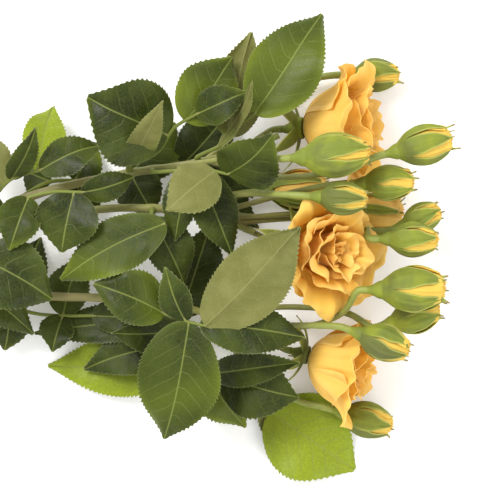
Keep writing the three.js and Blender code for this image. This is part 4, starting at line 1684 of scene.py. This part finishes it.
@dataclass
class Bud:
    """A closed or half-open flower: petals wrapped round each other, with sepals against them."""

    head: Head
    wrapped: int = 7
    petal_half_spread: float = math.radians(78.0)
    petal_half_thickness: float = 0.15
    sepal_half_spread: float = math.radians(37.5)
    sepal_half_thickness: float = 0.22
    tail_half_thickness: float = 0.1

    SIDE = ((0.36, 0.0), (0.78, 0.13), (1.0, 0.36), (0.94, 0.58), (0.66, 0.8), (0.3, 0.96))
    SEPAL_SHARES = (0.0, 0.25, 0.45, 0.62, 0.76, 0.86, 0.94, 1.0)
    SEPAL_WIDTHS = (1.0, 1.0, 0.9, 0.68, 0.42, 0.2, 0.08, 0.03)
    HUGGING = 0.8  # the share of a sepal that lies against the petals, below its free tail

    def side(self, share: np.ndarray) -> tuple[np.ndarray, np.ndarray]:
        """Returns radius and height on the outside of the wrapped petals.

        Args:
            share: how far up the curve, from 0 to 1.

        Returns:
            The radii and the heights.
        """
        knots = np.linspace(0.0, 1.0, len(self.SIDE))
        fine = np.linspace(0.0, 1.0, 121)
        radius, level = (np.interp(share, fine, catmull(knots, row, fine)) for row in zip(*self.SIDE))
        wider = 1.0 + 0.55 * self.head.open * share**2
        return radius * BUD_RADIUS * self.head.size * wider, level * BUD_LENGTH * self.head.size

    def foot(self) -> float:
        """Returns the height that the petals grow from."""
        return HIP_HEIGHT * 0.85 * self.head.size + GAP

    def add_core(self, skin: Skin) -> None:
        """Adds the solid that the petals are wrapped round.

        Args:
            skin: the surface to add to.
        """
        radius, level = self.side(np.linspace(0.0, 1.0, 20))
        angle = np.linspace(0.0, FULL_TURN, 24, endpoint=False)
        rings = around((radius * 0.86)[:, None], angle, (level * 0.95 + self.foot())[:, None])
        ends = np.array([[0.0, 0.0, self.foot()], [0.0, 0.0, self.foot() + level[-1] * 0.97]])
        foot, top = self.head.placed(ends)
        skin.add_rings(self.head.placed(rings), foot, top, {Mark.ALONG: 0.4, Mark.RIM: 9.0})

    def add_petal(self, skin: Skin, i: int, rng: np.random.Generator) -> None:
        """Adds one wrapped petal.

        Args:
            skin: the surface to add to.
            i: which one, from 0 for the outermost.
            rng: the source of its small differences.
        """
        head = self.head
        length = BUD_LENGTH * head.size
        depth = i / self.wrapped
        u = np.linspace(0.0, 1.0, 26)[:, None]
        v = np.linspace(-1.0, 1.0, 45)[None, :]
        ragged = 0.02 * waves(v / 2.0, rng, (3.0, 6.5, 11.0))
        top = mix(0.94, 1.04, depth) * (1.0 - 0.07 * v**2 + ragged)
        r, z = self.side(np.clip(u * top, 0.0, 1.0))
        r = r + 0.34 * smooth(0.2, 0.8, u) * waves(v + 0.12 * u, rng, (1.9, 3.3, 5.3))
        uneven = 0.35 + 0.65 * (1.0 + waves(v / 2.0, rng, (1.0, 2.0))) / 2
        flare = (0.9 + 1.8 * head.open) * smooth(0.8, 1.0, u) * uneven
        r = r * mix(1.0, 0.82, depth) + 0.5 * v + flare * (1.0 - depth)
        z = z + self.foot() + np.maximum(0.0, u * top - 1.0) * length
        twist = math.radians(30.0) * u
        turn = math.radians(head.turn) + GOLDEN_ANGLE * i + v * self.petal_half_spread + twist
        half = r * self.petal_half_spread
        marks = {
            Mark.ALONG: 0.3 + 0.7 * u,
            Mark.ACROSS: half * v,
            Mark.RIM: np.minimum(length * (1.0 - u), half * (1.0 - np.abs(v)) + 0.2),
            Mark.TONE: 0.8 * (1.0 - head.parted),
        }
        thick = self.petal_half_thickness
        skin.add_sheet(head.placed(around(r, turn, z)), thick, thick, marks)

    def petals(self) -> Skin:
        """Builds the wrapped petals around a solid core."""
        rng = np.random.default_rng(int(self.head.turn) + 300)
        skin = Skin()
        self.add_core(skin)
        for i in range(self.wrapped):
            self.add_petal(skin, i, rng)
        return skin

    def add_sepal(self, skin: Skin, i: int, rng: np.random.Generator) -> None:
        """Adds a sepal that hugs the petals and ends in a free tail.

        Args:
            skin: the surface to add to.
            i: which one, from 0.
            rng: the source of its small differences.
        """
        head, size = self.head, self.head.size
        u = np.linspace(0.0, 1.0, 40)[:, None]
        v = np.linspace(-1.0, 1.0, 15)[None, :]
        beyond = np.maximum(0.0, u - self.HUGGING)
        r, z = self.side(np.minimum(u, self.HUGGING) * 1.12 + 0.02)
        root = smooth(0.14, 0.0, u)
        curl = rng.uniform(-0.8, 0.7)
        full = 1.0 - (0.22 * rng.uniform(0.0, 1.0)) * smooth(0.05, 0.4, u)
        spread = self.sepal_half_spread * full * (1.0 - 0.7 * head.parted)
        spread = spread * np.interp(u, self.SEPAL_SHARES, self.SEPAL_WIDTHS)
        r = r + 0.75 - root * 1.2 + beyond * (2.0 + 8.0 * head.open + 24.0 * curl * beyond) * size
        z = z + self.foot() - root * 2.4 * size + beyond * rng.uniform(4.0, 24.0) * size
        edge = 0.07 * waves(u + 0.3 * np.sign(v), rng, (1.3, 3.1))
        spread = spread * (1.0 + edge * smooth(0.1, 0.4, u))
        half = spread * r
        keel = 0.45 * bell(v, 0.16) * smooth(0.05, 0.3, u)
        crease = 0.14 * waves(v * 0.5 + 0.1 * u, rng, (2.3, 4.1)) * smooth(0.1, 0.4, u)
        overlap = 0.35 * v * (i % 2 - 0.5)
        r = r + 0.25 * np.abs(v) ** 3 + keel + crease + overlap
        # a random tone per sepal: low ones get painted shade, high ones the lit green
        tone = rng.uniform(0.05, 0.9)
        bend = math.radians(rng.uniform(-22.0, 22.0)) * smooth(0.6, 1.0, u)
        lean = math.radians(rng.uniform(-9.0, 9.0)) * smooth(0.1, 0.5, u)
        turn = math.radians(head.turn) + FULL_TURN * i / PER_WHORL + v * spread + bend + lean
        thinner = (self.sepal_half_thickness - self.tail_half_thickness) * smooth(0.7, 1.0, u)
        thick = self.sepal_half_thickness - thinner
        skin.add_sheet(head.placed(around(r, turn, z)), thick, thick, sepal_marks(u, v, half, tone))

    def calyx(self) -> Skin:
        """Builds the hip and the five sepals that lie against the petals."""
        size = self.head.size
        rng = np.random.default_rng(int(self.head.turn) + 500)
        skin = Skin()
        add_hip(skin, self.head, HIP_RADIUS * 0.88 * size, HIP_HEIGHT * 0.85 * size, STALK_RADIUS * 1.35)
        for i in range(PER_WHORL):
            self.add_sepal(skin, i, rng)
        return skin

    def build(self, name: str, shift: np.ndarray, petal: Material, green: Material) -> None:
        """Makes the pieces of the bud.

        Args:
            name: the bud's name.
            shift: how far the layout is from the frame.
            petal: the petal material.
            green: the calyx material.
        """
        dress(self.petals().build("wrapped_" + name, shift, petal), [f"bud_{name}_petals"])
        dress(self.calyx().build("budgreen_" + name, shift, green), [f"bud_{name}_calyx"])


# -------------------------------------------------------------------------------------------- the scene
def dress(piece: bpy.types.Object, nodes: Sequence[str]) -> None:
    """Ties a piece to the frame and reports how far it is from the nodes that it stands for.

    Args:
        piece: the new piece.
        nodes: the nodes that it replaces.
    """
    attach(piece, "root")
    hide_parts(*nodes)
    corners = [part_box(node) for node in nodes]
    low = np.array([c[0] for c in corners]).min(0)
    high = np.array([c[1] for c in corners]).max(0)
    co = np.empty(len(piece.data.vertices) * 3, np.float32)
    piece.data.vertices.foreach_get("co", co)
    co = co.reshape(-1, 3)
    proud = np.concatenate([low - co.min(0), co.max(0) - high]) / MM
    faces = len(piece.data.polygons)
    log.info("%s: %d faces, stands %.1f mm outside its node at most", piece.name, faces, proud.max())


@dataclass
class Studio:
    """The pale surface, the lights and the camera."""

    span: float = 225.0  # how much of the rose is in view, in millimetres
    distance: float = 2.2
    look_height: float = 0.045
    side: float = 3.0
    drop: float = 0.0004  # how far the surface is below the rose, so that the two never meet
    brightness: float = 0.95

    SENSOR = 36.0
    WHITE = (1.0, 1.0, 1.0, 1.0)
    PALE = (0.93, 0.93, 0.925, 1.0)
    AIM = (0.1, 0.0, 0.0)

    def build(self, shift: np.ndarray) -> None:
        """Adds everything around the rose.

        Args:
            shift: how far the layout is from the frame.
        """
        self.surface()
        self.lights()
        self.camera(shift)

    def surface(self) -> None:
        """Adds the surface that the rose lies on."""
        side = self.side
        corners = [(-side, -side, 0), (side, -side, 0), (side, side, 0), (-side, side, 0)]
        mesh = bpy.data.meshes.new("surface")
        mesh.from_pydata(corners, [], [(0, 1, 2, 3)])
        plane = bpy.data.objects.new("surface", mesh)
        plane.location.z = -self.drop
        bpy.context.scene.collection.objects.link(plane)
        material = bpy.data.materials.new("surface")
        material.use_nodes = True
        shader = material.node_tree.nodes["Principled BSDF"]
        shader.inputs["Base Color"].default_value = self.PALE
        shader.inputs["Roughness"].default_value = 0.75
        shader.inputs["Emission Color"].default_value = self.WHITE
        shader.inputs["Emission Strength"].default_value = 0.15
        mesh.materials.append(material)

    def lights(self) -> None:
        """Adds an even pale surround and two large soft lights."""
        world = bpy.data.worlds.new("surround")
        world.use_nodes = True
        background = world.node_tree.nodes["Background"]
        background.inputs["Color"].default_value = self.WHITE
        background.inputs["Strength"].default_value = self.brightness
        bpy.context.scene.world = world
        for name, place, size, power in (
            ("key", (-0.7, 0.8, 1.5), 0.8, 30.0),
            ("fill", (1.1, -0.7, 1.1), 1.1, 9.0),
        ):
            data = bpy.data.lights.new(name, "AREA")
            data.shape = "DISK"
            data.size = size
            data.energy = power
            lamp = bpy.data.objects.new(name, data)
            lamp.location = place
            way = Vector(self.AIM) - Vector(place)
            lamp.rotation_euler = way.to_track_quat("-Z", "Y").to_euler()
            bpy.context.scene.collection.objects.link(lamp)

    def camera(self, shift: np.ndarray) -> None:
        """Adds the camera, which looks straight down at the flowering end.

        Args:
            shift: how far the layout is from the frame.
        """
        data = bpy.data.cameras.new("camera")
        data.sensor_width = self.SENSOR
        data.lens = self.SENSOR * (self.distance - self.look_height) / (self.span * MM)
        data.clip_end = 20.0
        camera = bpy.data.objects.new("camera", data)
        camera.location = (shift[0] * MM, shift[1] * MM, self.distance)
        bpy.context.scene.collection.objects.link(camera)
        bpy.context.scene.camera = camera
        bpy.context.scene.view_settings.view_transform = "Standard"


def find_shift(stem: Stem) -> np.ndarray:
    """Returns how far the frame lies from the layout, from where the stem is in both.

    Args:
        stem: the stem, in the layout.

    Returns:
        The shift in millimetres.
    """
    low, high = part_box("stem")
    return (np.array(low) + np.array(high)) / 2.0 / MM - stem.skin().box_centre()


def main() -> None:
    """Builds the rose and the studio around it."""
    logging.basicConfig(level=logging.INFO, format="%(name)s: %(message)s")
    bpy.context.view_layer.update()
    finishes = Finishes()
    leaf = LeafFinish().make(finishes)
    petal = PetalFinish().make(finishes)
    green = CalyxFinish().make(finishes)
    bark = BarkFinish().make(finishes)
    stem = Stem()
    shift = find_shift(stem)
    log.info("the layout is %s mm from the frame", np.round(shift, 2))
    stem.build(shift, bark)
    for name, spec in LEAVES.items():
        spec.build(name, shift, leaf)
    for name, head in BLOOMS.items():
        Bloom(head).build(name, shift, petal, green)
    for name, head in BUDS.items():
        Bud(head).build(name, shift, petal, green)
    Studio().build(shift)


if __name__ == "__main__":
    main()
